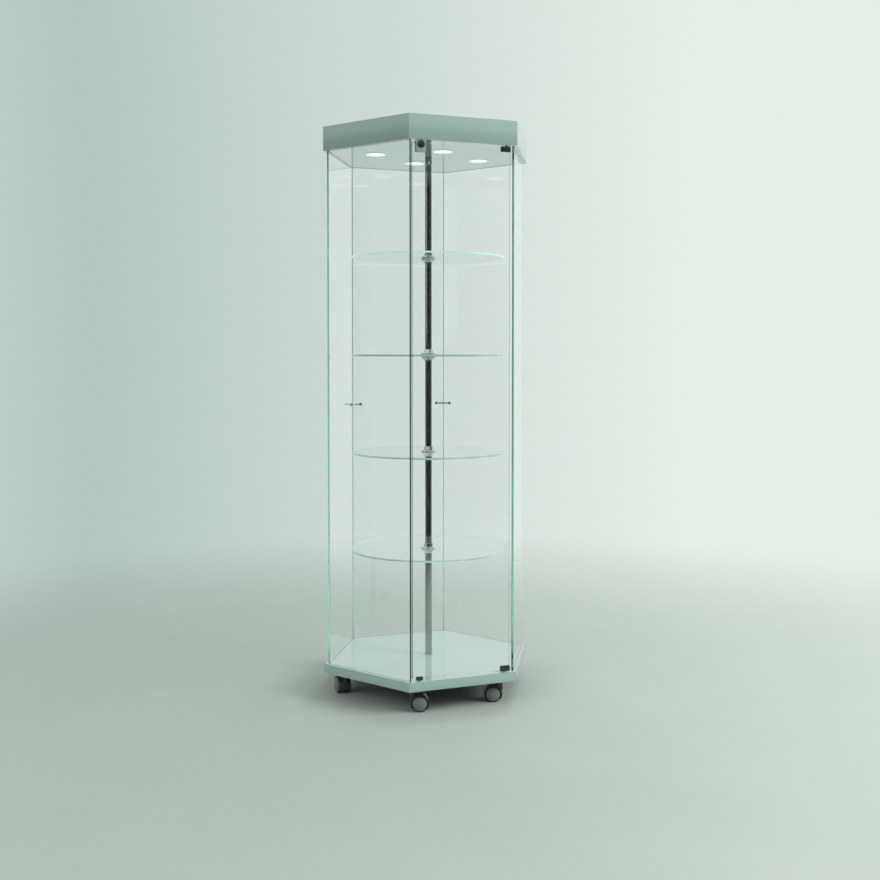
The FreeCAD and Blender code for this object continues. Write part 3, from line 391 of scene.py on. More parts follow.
def make_cut_end(name, tone):
    """A cut end that is looked into, painted in one tone that stands for the light and shade seen in it."""
    finish = Finish(name)
    fine = finish.noise(90.0, 3.0, (1, 1, 0.1))
    greener = (0.5 * tone[0], 1.5 * tone[1], 1.3 * tone[2], 1.0)
    base = finish.blend(finish.limited(fine, 0.35, 0.65), tone, greener)
    return finish.show(
        finish.principled(Base_Color=base, Roughness=finish.spread(fine, 0.06, 0.14), IOR=GLASS_IOR)
    )


GLASS = make_glass("float_glass", (0.992, 1.0, 0.997, 1.0), (0.05, 0.74, 0.55, 1.0), 1.5)
# The free ends at the latch corner are painted nearly black: a painted shade.
PAINTED_DARK_END = make_cut_end("glass_end_painted_shade", colour(34, 42, 39))
# One glued seam in two painted tones: painted shade at the rear corners, painted light at the side corners.
SHADED_GLUED_SEAM = make_cut_end("glued_seam_painted_shade", colour(104, 126, 118))
LIT_GLUED_SEAM = make_cut_end("glued_seam_painted_light", colour(176, 206, 194))
# The shelf rims take a painted mint glow.
GLASS_EDGE = make_glass_edge(
    "mint_glass_edge_painted_glow", colour(172, 216, 198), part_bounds("glass_shelf_1")[0].z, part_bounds("glass_shelf_4")[1].z,
)

# %% [markdown]
# ## Metals
#
# Polished chrome mirrors almost everything, so its detail is in the faintest unevenness: a drifting
# roughness as of wiping marks. Satin metal has a fine grain that runs one way, made by noise that is
# stretched along the grain. Zinc plate has an even one. The column and the corner links have a darker copy
# of the collars' chrome, a painted dark reflection, and the rosette of the lock is painted darker than its
# case, a painted dark reflection too.

# %% Metal finishes
LEVEL_GRAIN = (60, 60, 900)      # fine along Z, so its lines run level
EVEN_GRAIN = (300, 300, 300)


def make_chrome(name, tone, roughness, drift):
    """A mirror-like metal with faint wiping marks."""
    finish = Finish(name)
    marks = finish.noise(35.0, 4.0, (1, 1, 0.2))
    patches = finish.noise(9.0, 2.0)
    base = finish.blend(patches, shaded(tone, 0.92), tone)
    uneven = finish.limited(marks, 0.35, 0.75, roughness, roughness + drift)
    return finish.show(finish.principled(Base_Color=base, Metallic=1.0, Roughness=uneven))


def make_satin(name, tone, roughness, grain, metallic=1.0, depth=0.15):
    """A metal with fine grain. The grain stretches the noise: large numbers across it, small ones along."""
    finish = Finish(name)
    lines = finish.noise(1.0, 3.0, grain, 0.65)
    patches = finish.noise(14.0, 2.0)
    base = finish.blend(finish.spread(lines * 0.6 + patches * 0.4), shaded(tone, 0.86), tone)
    uneven = finish.limited(lines, 0.25, 0.75, roughness - 0.06, roughness + 0.08)
    normal = finish.bump(lines, depth, 0.0002)
    shader = finish.principled(Base_Color=base, Metallic=metallic, Roughness=uneven, Normal=normal)
    return finish.show(shader)


CHROME = make_chrome("polished_chrome", (0.86, 0.88, 0.89, 1.0), 0.02, 0.04)
# A darker copy of the chrome for the column and the links: a painted dark reflection.
DARKENED_CHROME = make_chrome("chrome_painted_dark", (0.42, 0.44, 0.44, 1.0), 0.006, 0.010)
DARK_CHROME = make_satin("smoked_chrome", (0.045, 0.060, 0.055, 1.0), 0.26, LEVEL_GRAIN, 0.4)
NICKEL = make_satin("satin_nickel", (0.48, 0.62, 0.57, 1.0), 0.24, LEVEL_GRAIN, 0.25)
# The rosette is darker than the case: a painted dark reflection.
DARKENED_ROSETTE = make_satin("rosette_painted_dark", (0.085, 0.14, 0.125, 1.0), 0.16, LEVEL_GRAIN, 0.5)
STEEL = make_satin("zinc_steel", (0.62, 0.63, 0.62, 1.0), 0.36, EVEN_GRAIN, depth=0.1)

# %% [markdown]
# ## Boards and edging
#
# The base top and the ceiling are a hard glossy laminate. It's even in colour, with the slight orange peel
# of pressed laminate, which breaks a mirrored edge up a little. The underside of the base is painted nearly
# black, a painted shade for the shadow under the base. The fascia and the edging of the base are silver-grey
# foil, satin, with a metal flake too fine to see as dots.

# %% Board finishes
# Painted shade: the dark tone of the base's underside.
UNDERSIDE_SHADE = colour(38, 40, 37)
SHADE_BAND = 0.001
SHADE_BLEND = 0.0005


def make_laminate(name, tone, roughness, coat, shade_below=None):
    """Pressed laminate. Faces below the given height are painted dark instead, a painted shade for the shadow
    under the base.
    """
    finish = Finish(name)
    drift = finish.noise(3.0, 3.0)
    peel = finish.noise(260.0, 2.0)
    wiped = finish.noise(7.0, 4.0, (1.0, 0.35, 1.0))
    face = finish.blend(finish.spread(drift), shaded(tone, 0.955), tone)
    if shade_below is not None:
        height = finish.parts(finish.place())[2]
        # Below this height the face is painted dark: painted shade.
        above = finish.limited(height, shade_below, shade_below + SHADE_BLEND)
        face = finish.blend(above, UNDERSIDE_SHADE, face)
    shader = finish.principled(
        Base_Color=face,
        Roughness=finish.limited(wiped, 0.35, 0.7, roughness, roughness + 0.05),
        Normal=finish.bump(peel, 0.03, 0.0005),
        Coat_Weight=coat,
        Coat_Roughness=0.03,
    )
    return finish.show(shader)


def make_foil(name, tone):
    """Silver-grey foil with a fine flake and a faint level grain."""
    finish = Finish(name)
    flake = finish.noise(1400.0, 2.0)
    grain = finish.noise(1.0, 3.0, (9, 9, 700))
    cloud = finish.noise(4.0, 2.0)
    mixed = finish.limited(flake * 0.45 + grain * 0.3 + cloud * 0.25, 0.35, 0.65)
    shader = finish.principled(
        Base_Color=finish.blend(mixed, shaded(tone, 0.88), tone),
        Metallic=0.1,
        Roughness=finish.spread(flake, 0.29, 0.37),
        Normal=finish.bump(flake * 0.5 + grain, 0.05, 0.0002),
        Coat_Weight=0.5,
        Coat_Roughness=0.10,
    )
    return finish.show(shader)


def make_chipboard(name):
    """Raw pressed chips, for the edges and inner sides that nobody sees from outside."""
    finish = Finish(name)
    cells = {"Vector": finish.place((1, 1, 2.5)), "Scale": 320.0}
    chips = finish.node("ShaderNodeTexVoronoi", {"feature": "F1"}, cells).wire("Distance")
    fine = finish.noise(500.0, 4.0)
    tone = finish.blend(chips * 1.6, colour(196, 170, 128), colour(150, 120, 84))
    mixed = finish.blend(finish.limited(fine, 0.35, 0.7), tone, colour(206, 184, 146))
    normal = finish.bump(fine + chips, 0.3, 0.0006)
    return finish.show(finish.principled(Base_Color=mixed, Roughness=0.85, Normal=normal))


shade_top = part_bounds("base_board")[0].z + SHADE_BAND
BASE_LAMINATE = make_laminate("gloss_laminate", colour(183, 205, 199), 0.10, 0.6, shade_top)
CEILING_LAMINATE = make_laminate("ceiling_laminate", colour(156, 188, 168), 0.08, 1.0)
LID_LAMINATE = make_laminate("lid_laminate", colour(188, 205, 198), 0.40, 0.0)
FOIL = make_foil("silver_foil", colour(174, 203, 197))
CHIPBOARD = make_chipboard("chipboard")

# %% [markdown]
# ## Rubber, nylon and plastics
#
# Moulded plastic is never quite even: the tool leaves a fine spark-eroded texture, which a dense noise bump
# gives. The wheel treads are softer and duller than the caps.

# %% Moulded finishes
def make_moulded(name, tone, roughness, texture_scale, texture_depth, coat=0.0):
    """Moulded plastic, nylon, rubber or paint with a fine texture."""
    finish = Finish(name)
    texture = finish.noise(texture_scale, 3.0)
    cloud = finish.noise(20.0, 3.0)
    lighter = tuple(min(1.0, 1.18 * value + 0.004) for value in tone[:3]) + (1.0,)
    shader = finish.principled(
        Base_Color=finish.blend(finish.limited(cloud, 0.3, 0.75), tone, lighter),
        Roughness=finish.spread(texture, roughness - 0.05, roughness + 0.07),
        Normal=finish.bump(texture, texture_depth, 0.0003),
        Coat_Weight=coat,
        Coat_Roughness=0.12,
    )
    return finish.show(shader)


RUBBER = make_moulded("black_rubber", colour(30, 31, 31), 0.62, 900.0, 0.25)
NYLON = make_moulded("natural_nylon", colour(226, 226, 216), 0.38, 500.0, 0.12)
HOOD_PLASTIC = make_moulded("castor_hood_plastic", colour(62, 68, 66), 0.36, 700.0, 0.15, 0.2)
TREAD = make_moulded("castor_tread", colour(24, 26, 26), 0.55, 650.0, 0.25)
CAP_SILVER = make_moulded("castor_cap_silver", colour(114, 122, 120), 0.32, 900.0, 0.08, 0.2)
MOTOR_PAINT = make_moulded("motor_paint", colour(70, 73, 76), 0.42, 800.0, 0.2, 0.1)
CASE_BLACK = make_moulded("transformer_case", colour(34, 35, 37), 0.5, 600.0, 0.3)

# %% [markdown]
# ## The lit lenses
#
# The lamps are on. A frosted lens glows brightest in the middle and fades a little to its rim. The white
# ring around it has a painted glow that fades from the lens outwards, for the soft glow of the spot. The lamps
# stand in pairs, one pair on the X axis and one on the Y axis, so folding the space with absolute values brings
# each pair to one point, and the smaller of two distances is the distance to the nearest lamp.

# %% Lamp glow
LENS_GLOW = 1.3
# Painted glow of the white rings, strongest next to the lens.
RING_PAINTED_GLOW = 1.0
RING_PAINTED_GLOW_REACH = 2.6        # in radii of the lens


def part_box(node, wanted):
    """The box of the points of a node that pass a test, for one solid out of a group."""
    points = [vertex.co for vertex in nodes[node].data.vertices if wanted(vertex.co)]
    low = Vector([min(point[axis] for point in points) for axis in range(3)])
    high = Vector([max(point[axis] for point in points) for axis in range(3)])
    return low, high


on_x_axis = part_box("spot_lenses", lambda point: point.x > abs(point.y))
on_y_axis = part_box("spot_lenses", lambda point: point.y > abs(point.x))
LENS_RADIUS = (on_x_axis[1].y - on_x_axis[0].y) / 2
SPOT_X = on_x_axis[1].x - LENS_RADIUS
SPOT_Y = on_y_axis[1].y - LENS_RADIUS
print("lamps at", round(SPOT_X, 4), round(SPOT_Y, 4), "lens radius", round(LENS_RADIUS, 4))


def from_nearest_lamp(finish):
    """The distance from the axis of the nearest lamp."""
    x, y, _ = finish.parts(finish.place())
    from_x_pair = ((abs(x) - SPOT_X) ** 2.0 + y ** 2.0) ** 0.5
    from_y_pair = (x ** 2.0 + (abs(y) - SPOT_Y) ** 2.0) ** 0.5
    return from_x_pair.maths("MINIMUM", from_y_pair)


def make_lens(name):
    """A frosted lens that glows, most of all in its middle."""
    finish = Finish(name)
    to_rim = finish.limited(from_nearest_lamp(finish), 0.0, LENS_RADIUS)
    frosting = finish.blend(finish.noise(180.0, 2.0), colour(246, 248, 240), colour(255, 255, 252))
    glow = finish.blend(to_rim ** 2.0, frosting, colour(176, 186, 176))
    return finish.show(finish.principled(
        Base_Color=frosting, Roughness=0.35, Emission_Color=glow, Emission_Strength=LENS_GLOW,
    ))


def make_ring_with_painted_glow(name, tone):
    """The white plastic of a ring, with a painted glow next to the lens that fades outwards."""
    finish = Finish(name)
    texture = finish.noise(900.0, 3.0)
    reach = RING_PAINTED_GLOW_REACH * LENS_RADIUS
    near_lens = finish.limited(from_nearest_lamp(finish), LENS_RADIUS, reach, 1.0, 0.0)
    glow = finish.blend(near_lens, (0.0, 0.0, 0.0, 1.0), colour(170, 184, 174))
    cloud = finish.limited(finish.noise(20.0, 3.0), 0.3, 0.75)
    shader = finish.principled(
        Base_Color=finish.blend(cloud, tone, colour(240, 244, 238)),
        Roughness=finish.spread(texture, 0.25, 0.37),
        Normal=finish.bump(texture, 0.06, 0.0003),
        Emission_Color=glow,
        Emission_Strength=RING_PAINTED_GLOW,
    )
    return finish.show(shader)


LENS_GLASS = make_lens("lit_lens")
RING_WHITE = make_ring_with_painted_glow("white_ring_painted_glow", colour(232, 236, 230))

# %% [markdown]
# ## Dressing the solid nodes
#
# Pieces whose plain shape is right stay as they are and only get a finish. The boards, the pins and
# everything inside the top box are such pieces. The slots of their objects take the new material.

# %% Finishes on the solid nodes
def paint(material, *names):
    for name in names:
        for slot in nodes[name].material_slots:
            slot.material = material
    print(material.name, "on", ", ".join(names))


paint(BASE_LAMINATE, "base_board")
paint(CEILING_LAMINATE, "ceiling_board")
paint(LID_LAMINATE, "top_box_lid")
paint(CHIPBOARD, "top_box_rails")
paint(NYLON, "thrust_washers", "top_bush", "column_foot", "shelf_washers")
paint(RUBBER, "glass_setting_blocks", "clamp_pads")
paint(STEEL, "base_bearing_cup", "castor_plates", "castor_screws", "bracket_screws", "motor_bracket")
paint(STEEL, "drive_coupling", "pivot_pins", "catch_magnet", "lock_strike_plate", "lock_cam", "spot_cans")
paint(MOTOR_PAINT, "gear_motor")
paint(CASE_BLACK, "lamp_transformer")

# %% [markdown]
# ## The sheets of glass
#
# Each sheet is a slab with a fine flat arris along every edge, taken off by the grinder before the edge is
# polished. A copy of the solid is the slab already, notch for the lock included, so its loose triangles are
# merged to plain faces and the arris is bevelled on. Then the cut ends get the finish of their corner.

# %% Walls and door
ARRIS = 0.0007
DISSOLVE_ANGLE = math.radians(1)
END_REACH = 0.02             # faces that lie this near a corner belong to the cut ends
WALLS = ("glass_front_right", "glass_rear_right", "glass_rear", "glass_rear_left", "glass_front_left")
rear_low, rear_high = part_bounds("glass_rear")
front_low, front_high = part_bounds("glass_front_left")
LATCH_CORNER = Vector((front_high.x, front_low.y))
SIDE_CORNER = Vector((front_low.x, 0))
END_FINISHES = (
    (PAINTED_DARK_END, (LATCH_CORNER,)), (SHADED_GLUED_SEAM, (rear_low.xy, rear_high.xy)),
    (LIT_GLUED_SEAM, (SIDE_CORNER, -SIDE_CORNER)),
)


def copy_of_node(node, name):
    """The solid's mesh as a new piece, with its triangles merged to whole faces."""
    piece = bpy.data.objects.new(name, nodes[node].data.copy())
    bpy.context.collection.objects.link(piece)
    edit(piece, picked="SELECT")
    bpy.ops.mesh.remove_doubles(threshold=MERGE_DISTANCE)
    bpy.ops.mesh.dissolve_limited(angle_limit=DISSOLVE_ANGLE)
    finish_mesh(piece)
    if piece.data.has_custom_normals:
        bpy.ops.mesh.customdata_custom_splitnormals_clear()
    return piece


def give(piece, material):
    piece.data.materials.clear()
    piece.data.materials.append(material)
    return piece


def finish_faces(piece, material, wanted):
    """The faces that pass a test, if there are any, take a material of their own."""
    if not any(wanted(face.center, face.normal) for face in piece.data.polygons):
        return
    piece.data.materials.append(material)
    edit(piece)
    pick_faces(piece, wanted)
    piece.active_material_index = len(piece.data.materials) - 1
    bpy.ops.object.material_slot_assign()
    bpy.ops.object.mode_set(mode="OBJECT")


def near(corners):
    """A test for the faces that lie close to one of the corners."""
    return lambda centre, normal: min((centre.xy - corner).length for corner in corners) < END_REACH


def sheet_of_glass(node, body):
    """A wall or the door, with its arris and its cut ends."""
    pane = copy_of_node(node, "polished_" + node)
    bevel_edges(pane, ARRIS, 1)
    take(pane)
    bpy.ops.object.shade_flat()
    give(pane, GLASS)
    for material, corners in END_FINISHES:
        finish_faces(pane, material, near(corners))
    hand_over(pane, body, "clear_glass", node)


for wall in WALLS:
    sheet_of_glass(wall, "cabinet")
sheet_of_glass("door_glass", "door")

# %% [markdown]
# The round shelves are turned shapes: a disc with a hole for the column, with the same arris on its rim. A
# turned shape starts as a circle, which is extruded and resized ring by ring, as a lathe tool follows a
# profile. Many segments keep the rim round, because a facet would show as a broken highlight.

# %% The lathe
def fresh(name, scale=(1, 1, 1)):
    """The piece that was added last, named, with its place and scale baked in."""
    piece = bpy.context.object
    piece.name = name
    piece.scale = scale
    bake_place(piece)
    return piece


def turned(name, profile, segments=64, closed=False):
    """A shape turned about Z, from (radius, height) points. A closed profile joins its last ring to its
    first, as on a ring with a bore, and an open one is capped at both ends."""
    release()
    radius, height = profile[0]
    bpy.ops.mesh.primitive_circle_add(vertices=segments, radius=radius, location=(0, 0, height))
    shape = fresh(name)
    edit(shape, "EDGE", "SELECT")
    if not closed:
        bpy.ops.mesh.edge_face_add()
        bpy.ops.mesh.select_mode(type="EDGE")
    rings = profile[1:] + profile[:1] if closed else profile[1:]
    for (radius0, height0), (radius1, height1) in zip(profile, rings):
        bpy.ops.mesh.extrude_edges_move(TRANSFORM_OT_translate={"value": (0, 0, height1 - height0)})
        grow = radius1 / radius0
        bpy.ops.transform.resize(value=(grow, grow, 1), center_override=(0, 0, 0))
    if not closed:
        bpy.ops.mesh.edge_face_add()
    return finish_mesh(shape)


# %% Round shelves
SHELF_NODES = sorted(name for name in nodes if name.startswith("glass_shelf_"))
SHELF_SEGMENTS = 192
SHELF_HOLE_GAP = 0.001
PLANE_EASE = 0.00002         # glass and its neighbours never share a plane
FLAT_RISE = 0.9              # a flat face's normal rises more than this
COLUMN_LOW, COLUMN_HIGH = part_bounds("column")
COLUMN_RADIUS = COLUMN_HIGH.x


def arris_ring(inner, outer, low, high, cut):
    """The closed profile of a flat ring with its four corners cut off."""
    return [
        (inner + cut, low), (outer - cut, low), (outer, low + cut), (outer, high - cut),
        (outer - cut, high), (inner + cut, high), (inner, high - cut), (inner, low + cut),
    ]


for node in SHELF_NODES:
    low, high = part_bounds(node)
    hole = COLUMN_RADIUS + SHELF_HOLE_GAP
    profile = arris_ring(hole, high.x, low.z + PLANE_EASE, high.z - PLANE_EASE, ARRIS)
    shelf = give(turned("polished_" + node, profile, SHELF_SEGMENTS, closed=True), GLASS)
    finish_faces(
        shelf, GLASS_EDGE,
        lambda centre, normal: abs(normal.z) < FLAT_RISE and centre.xy.length > high.x / 2,
    )
    smooth(shelf)
    hand_over(shelf, "carousel", "clear_glass", node)

# %% [markdown]
# ## Fascia and edging
#
# Six strips close the rim of the top box, and six the base. They meet in mitres, and a real mitre shows as a
# hair line, because each strip's corners are very slightly rounded. The same copy and bevel gives that.

# %% Foil strips
STRIP_ROUNDING = 0.0005

for node, name in (("top_box_fascia", "fascia_strips"), ("base_edge_strips", "base_edging")):
    strips = copy_of_node(node, name)
    round_edges(strips, STRIP_ROUNDING)
    hand_over(give(strips, FOIL), "cabinet", "silver_edging", node)

# %% [markdown]
# ## The column and its collars
#
# The column is a polished tube. Each shelf lies on a cone-shaped hub and is held down by a flange with a
# boss, and each of the two is fixed by one grub screw. The collars are turned, their edges are rounded, and
# a boolean drills the screw hole. One pattern of each is made at height zero, and every shelf gets a copy.

# %% Column
TUBE_WALL = 0.0015
COLUMN_SEGMENTS = 96
tube_inside = COLUMN_RADIUS - TUBE_WALL

column = turned(
    "column_tube",
    [
        (COLUMN_RADIUS, COLUMN_LOW.z), (COLUMN_RADIUS, COLUMN_HIGH.z),
        (tube_inside, COLUMN_HIGH.z), (tube_inside, COLUMN_LOW.z),
    ],
    COLUMN_SEGMENTS, closed=True,
)
smooth(column)
hand_over(give(column, DARKENED_CHROME), "carousel", "chrome", "column")

# %% Drilling
def discard(*pieces):
    for piece in pieces:
        bpy.data.objects.remove(piece, do_unlink=True)


def combine(piece, operation, other):
    """Cuts another piece away from this one or adds it. The other piece is used up."""
    apply_modifier(piece, "BOOLEAN", operation=operation, object=other, solver="EXACT")
    discard(other)


def cylinder_between(name, start, end, radius, segments=24):
    """A plain cylinder from one point to another."""
    start, end = Vector(start), Vector(end)
    release()
    turn = (end - start).to_track_quat("Z", "Y").to_euler()
    bpy.ops.mesh.primitive_cylinder_add(
        vertices=segments, radius=radius, depth=(end - start).length,
        location=(start + end) / 2, rotation=turn,
    )
    return fresh(name)


def drill(piece, start, end, radius, segments=24):
    """Cuts a round or six-sided hole."""
    combine(piece, "DIFFERENCE", cylinder_between("drill", start, end, radius, segments))


# %% Grub screws
SOCKET_SHARE = 0.55
SCREW_ROUNDING_SHARE = 0.1


def grub_screw(name, start, end, radius):
    """A headless screw whose outer end has a hexagon socket."""
    start, end = Vector(start), Vector(end)
    screw = cylinder_between(name, start, end, radius)
    along = (end - start).normalized()
    drill(screw, end - along * radius, end + along * radius, radius * SOCKET_SHARE, 6)
    round_edges(screw, radius * SCREW_ROUNDING_SHARE, 1)
    return screw


# %% Copies of a pattern
def joined(name, pieces):
    """One object from several."""
    take(pieces[0])
    for piece in pieces[1:]:
        piece.select_set(True)
    bpy.ops.object.join()
    pieces[0].name = name
    return pieces[0]


def copied(piece, name, matrix):
    """A copy with its own mesh, moved by a matrix that is baked in."""
    take(piece)
    bpy.ops.object.duplicate(linked=False)
    copy = bpy.context.object
    copy.name = name
    copy.matrix_world = matrix
    bake_place(copy)
    return copy


def repeated(name, pattern, places):
    """Copies of a pattern at several places, as one object. The pattern is used up."""
    whole = joined(name, [copied(pattern, name, place) for place in places])
    discard(pattern)
    return whole


# %% Collars
COLLAR_GAP = 0.00005         # collar bore to column
COLLAR_ROUNDING = 0.0006
FLANGE_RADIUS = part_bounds("shelf_clamps")[1].x
FLANGE_THICKNESS = 0.003
BOSS_WALL = 0.004
BOSS_RADIUS = COLUMN_RADIUS + BOSS_WALL
BOSS_HEIGHT = 0.015
HUB_HEIGHT = 0.013
CONE_STEP = 0.0035           # the cone's lower end, out from the boss
CONE_DEPTH = 0.0075
HUB_FOOT = 0.003
WASHER = 0.001
GRUB_RADIUS = 0.002
GRUB_PLAY = 0.00005
GRUB_INSET = 0.0004
OVERCUT = 0.001
bore = COLUMN_RADIUS + COLLAR_GAP
hub_screw = -HUB_HEIGHT + 2 * GRUB_RADIUS
clamp_screw = (FLANGE_THICKNESS + BOSS_HEIGHT) / 2

hub = turned(
    "hub_pattern",
    [
        (bore, 0), (FLANGE_RADIUS, 0), (FLANGE_RADIUS, -FLANGE_THICKNESS),
        (BOSS_RADIUS + CONE_STEP, -CONE_DEPTH), (BOSS_RADIUS, HUB_FOOT - HUB_HEIGHT),
        (BOSS_RADIUS, -HUB_HEIGHT), (bore, -HUB_HEIGHT),
    ],
    closed=True,
)
clamp = turned(
    "clamp_pattern",
    [
        (bore, 0), (FLANGE_RADIUS, 0), (FLANGE_RADIUS, FLANGE_THICKNESS),
        (BOSS_RADIUS, FLANGE_THICKNESS), (BOSS_RADIUS, BOSS_HEIGHT), (bore, BOSS_HEIGHT),
    ],
    closed=True,
)
screws = []
for collar, height in ((hub, hub_screw), (clamp, clamp_screw)):
    round_edges(collar, COLLAR_ROUNDING, 3)
    outside = (0, -BOSS_RADIUS - 2 * OVERCUT, height)
    drill(collar, (0, OVERCUT - bore, height), outside, GRUB_RADIUS + GRUB_PLAY)
    smooth(collar)
    screws.append(grub_screw("grub", (0, -bore, height), (0, GRUB_INSET - BOSS_RADIUS, height), GRUB_RADIUS))

# %% Collars on every shelf
under, over = [], []
for node in SHELF_NODES:
    low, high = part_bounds(node)
    under.append(Matrix.Translation((0, 0, low.z - WASHER)))
    over.append(Matrix.Translation((0, 0, high.z + WASHER)))
hubs = repeated("shelf_hub_cones", hub, under)
clamps = repeated("shelf_clamp_flanges", clamp, over)
grubs = joined("shelf_grubs", [repeated("grub", screws[0], under), repeated("grub", screws[1], over)])
hand_over(give(hubs, CHROME), "carousel", "chrome", "shelf_hubs")
hand_over(give(clamps, CHROME), "carousel", "chrome", "shelf_clamps")
hand_over(give(grubs, STEEL), "carousel", "steel", "shelf_grub_screws")

# %% [markdown]
# ## Links across the rear corners
#
# Half way up, a bent rod ties each end of the rear sheet to its neighbour, glued on by a round pad at both
# ends. A circle is the rod's section: it's extruded along one leg, spun round the corner and extruded along
# the other.

# %% Corner links
LINK_ROD = 0.0025
LINK_PAD_RADIUS = 0.0055
LINK_PAD = 0.003
LINK_REACH = 0.024
LINK_BEND = 0.006            # radius of the rod's bend
LINK_CORNERS = (60, 120)     # degrees about the column
BEND_STEPS = 10
PAD_NECK = (0.45, 0.55)      # the pad's start on the rod, as shares of its radius
PAD_SLOPE = 0.0006
PAD_ROUNDING = 0.0003
LEG_TURN = math.radians(60)
HALF_TURN = LEG_TURN / 2
link_low, link_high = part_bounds("corner_links")
link_height = (link_low.z + link_high.z) / 2
rod_apothem = rear_low.y - PLANE_EASE - LINK_PAD - LINK_ROD
bend_point = Vector((rod_apothem / math.cos(HALF_TURN), 0, link_height))


def corner_link(name):
    """The link of a corner that lies on the X axis."""
    leg = Vector((-math.cos(LEG_TURN), -math.sin(LEG_TURN), 0))
    other = Vector((leg.x, -leg.y, 0))
    straight = LINK_REACH - LINK_BEND * math.tan(HALF_TURN)
    start = bend_point + leg * LINK_REACH
    end = bend_point + other * LINK_REACH
    centre = bend_point - Vector((LINK_BEND / math.cos(HALF_TURN), 0, 0))
    release()
    turn = (-leg).to_track_quat("Z", "Y").to_euler()
    bpy.ops.mesh.primitive_circle_add(
        vertices=20, radius=LINK_ROD, location=start, rotation=turn, fill_type="NGON",
    )
    rod = fresh("rod")
    edit(rod, picked="SELECT")
    bpy.ops.mesh.extrude_region_move(TRANSFORM_OT_translate={"value": -leg * straight})
    bpy.ops.mesh.spin(steps=BEND_STEPS, angle=LEG_TURN, center=centre, axis=(0, 0, 1))
    bpy.ops.mesh.extrude_region_move(TRANSFORM_OT_translate={"value": other * straight})
    finish_mesh(rod)
    smooth(rod)
    pieces = [rod]
    for point, side in ((start, -1), (end, 1)):
        outward = Vector((math.cos(HALF_TURN), side * math.sin(HALF_TURN), 0))
        pad = turned(
            "pad",
            [
                (LINK_PAD_RADIUS * PAD_NECK[0], -LINK_ROD), (LINK_PAD_RADIUS * PAD_NECK[1], LINK_ROD),
                (LINK_PAD_RADIUS, LINK_ROD + PAD_SLOPE), (LINK_PAD_RADIUS, LINK_ROD + LINK_PAD),
            ],
            32,
        )
        round_edges(pad, PAD_ROUNDING)
        pad.matrix_world = Matrix.Translation(point) @ outward.to_track_quat("Z", "Y").to_matrix().to_4x4()
        bake_place(pad)
        pieces.append(pad)
    return joined(name, pieces)


turns = [Matrix.Rotation(math.radians(turn), 4, "Z") for turn in LINK_CORNERS]
links = repeated("corner_link_rods", corner_link("link_pattern"), turns)
hand_over(give(links, DARKENED_CHROME), "cabinet", "chrome", "corner_links")

# %% [markdown]
# ## The fittings of the door
#
# The door hangs on two clamps whose jaws hold the glass over thin pads. Each is a slotted block: two bisects
# divide the face of a low box, and the strips beside the slot are extruded into jaws. It gets a bore for the
# pivot pin and two grub screws in the inner jaw. The catch at the free corner is a smaller block of the same
# kind, without screws, that sits tight on the edge of the glass.

# %% A block with a slot
def box_between(name, low, high):
    """A plain box between two corners."""
    low, high = Vector(low), Vector(high)
    release()
    bpy.ops.mesh.primitive_cube_add(size=1, location=(low + high) / 2)
    return fresh(name, high - low)


def slotted_block(name, low, high, slot_low, slot_high, slot_floor, opens_up, radius):
    """A block whose slot runs along X, between two values of Y, down to a floor."""
    low, high = Vector(low), Vector(high)
    web_low = low.z if opens_up else slot_floor
    web_high = slot_floor if opens_up else high.z
    block = box_between(name, (low.x, low.y, web_low), (high.x, high.y, web_high))
    edit(block)
    for y in (slot_low, slot_high):
        bpy.ops.mesh.select_all(action="SELECT")
        bpy.ops.mesh.bisect(plane_co=(0, y, 0), plane_no=(0, 1, 0))
    side = 1 if opens_up else -1
    pick_faces(
        block,
        lambda centre, normal: normal.z * side > FLAT_RISE and not slot_low < centre.y < slot_high,
    )
    reach = (high.z if opens_up else low.z) - slot_floor
    bpy.ops.mesh.extrude_region_move(TRANSFORM_OT_translate={"value": (0, 0, reach)})
    finish_mesh(block)
    round_edges(block, radius, 3)
    return block


# %% Pivot clamps
FITTING_ROUNDING = 0.0008
PIN_BORE = 0.00306
MIDDLE_HEIGHT = 1.0          # anywhere between the lower fittings and the upper ones
door_low, door_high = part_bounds("door_glass")
pads_low, pads_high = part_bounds("clamp_pads")
pivot = Vector(joints["door_hinge"]["pos_m"])


def at_depth(point, y):
    """The point that lies straight before or behind another one."""
    return (point.x, y, point.z)


def pivot_clamp(upper):
    """One clamp and its two grub screws."""
    low, high = part_box("pivot_clamps", lambda point: (point.z > MIDDLE_HEIGHT) == upper)
    floor = door_high.z if upper else door_low.z
    clamp = slotted_block("clamp", low, high, pads_low.y, pads_high.y, floor, not upper, FITTING_ROUNDING)
    end = high.z + PIN_BORE if upper else low.z - PIN_BORE
    drill(clamp, (pivot.x, pivot.y, floor), (pivot.x, pivot.y, end), PIN_BORE)
    middle = (low.x + high.x) / 2
    screws = []
    for right in (False, True):
        front, back = part_box(
            "clamp_screws", lambda point: (point.z > MIDDLE_HEIGHT) == upper and (point.x > middle) == right,
        )
        centre = (front + back) / 2
        before = at_depth(centre, front.y - GRUB_RADIUS / 2)
        behind = at_depth(centre, high.y + GRUB_RADIUS)
        drill(clamp, before, behind, GRUB_RADIUS + GRUB_PLAY)
        screw_ends = at_depth(centre, front.y), at_depth(centre, back.y)
        screws.append(grub_screw("clamp_grub", *screw_ends, GRUB_RADIUS))
    smooth(clamp)
    return clamp, screws


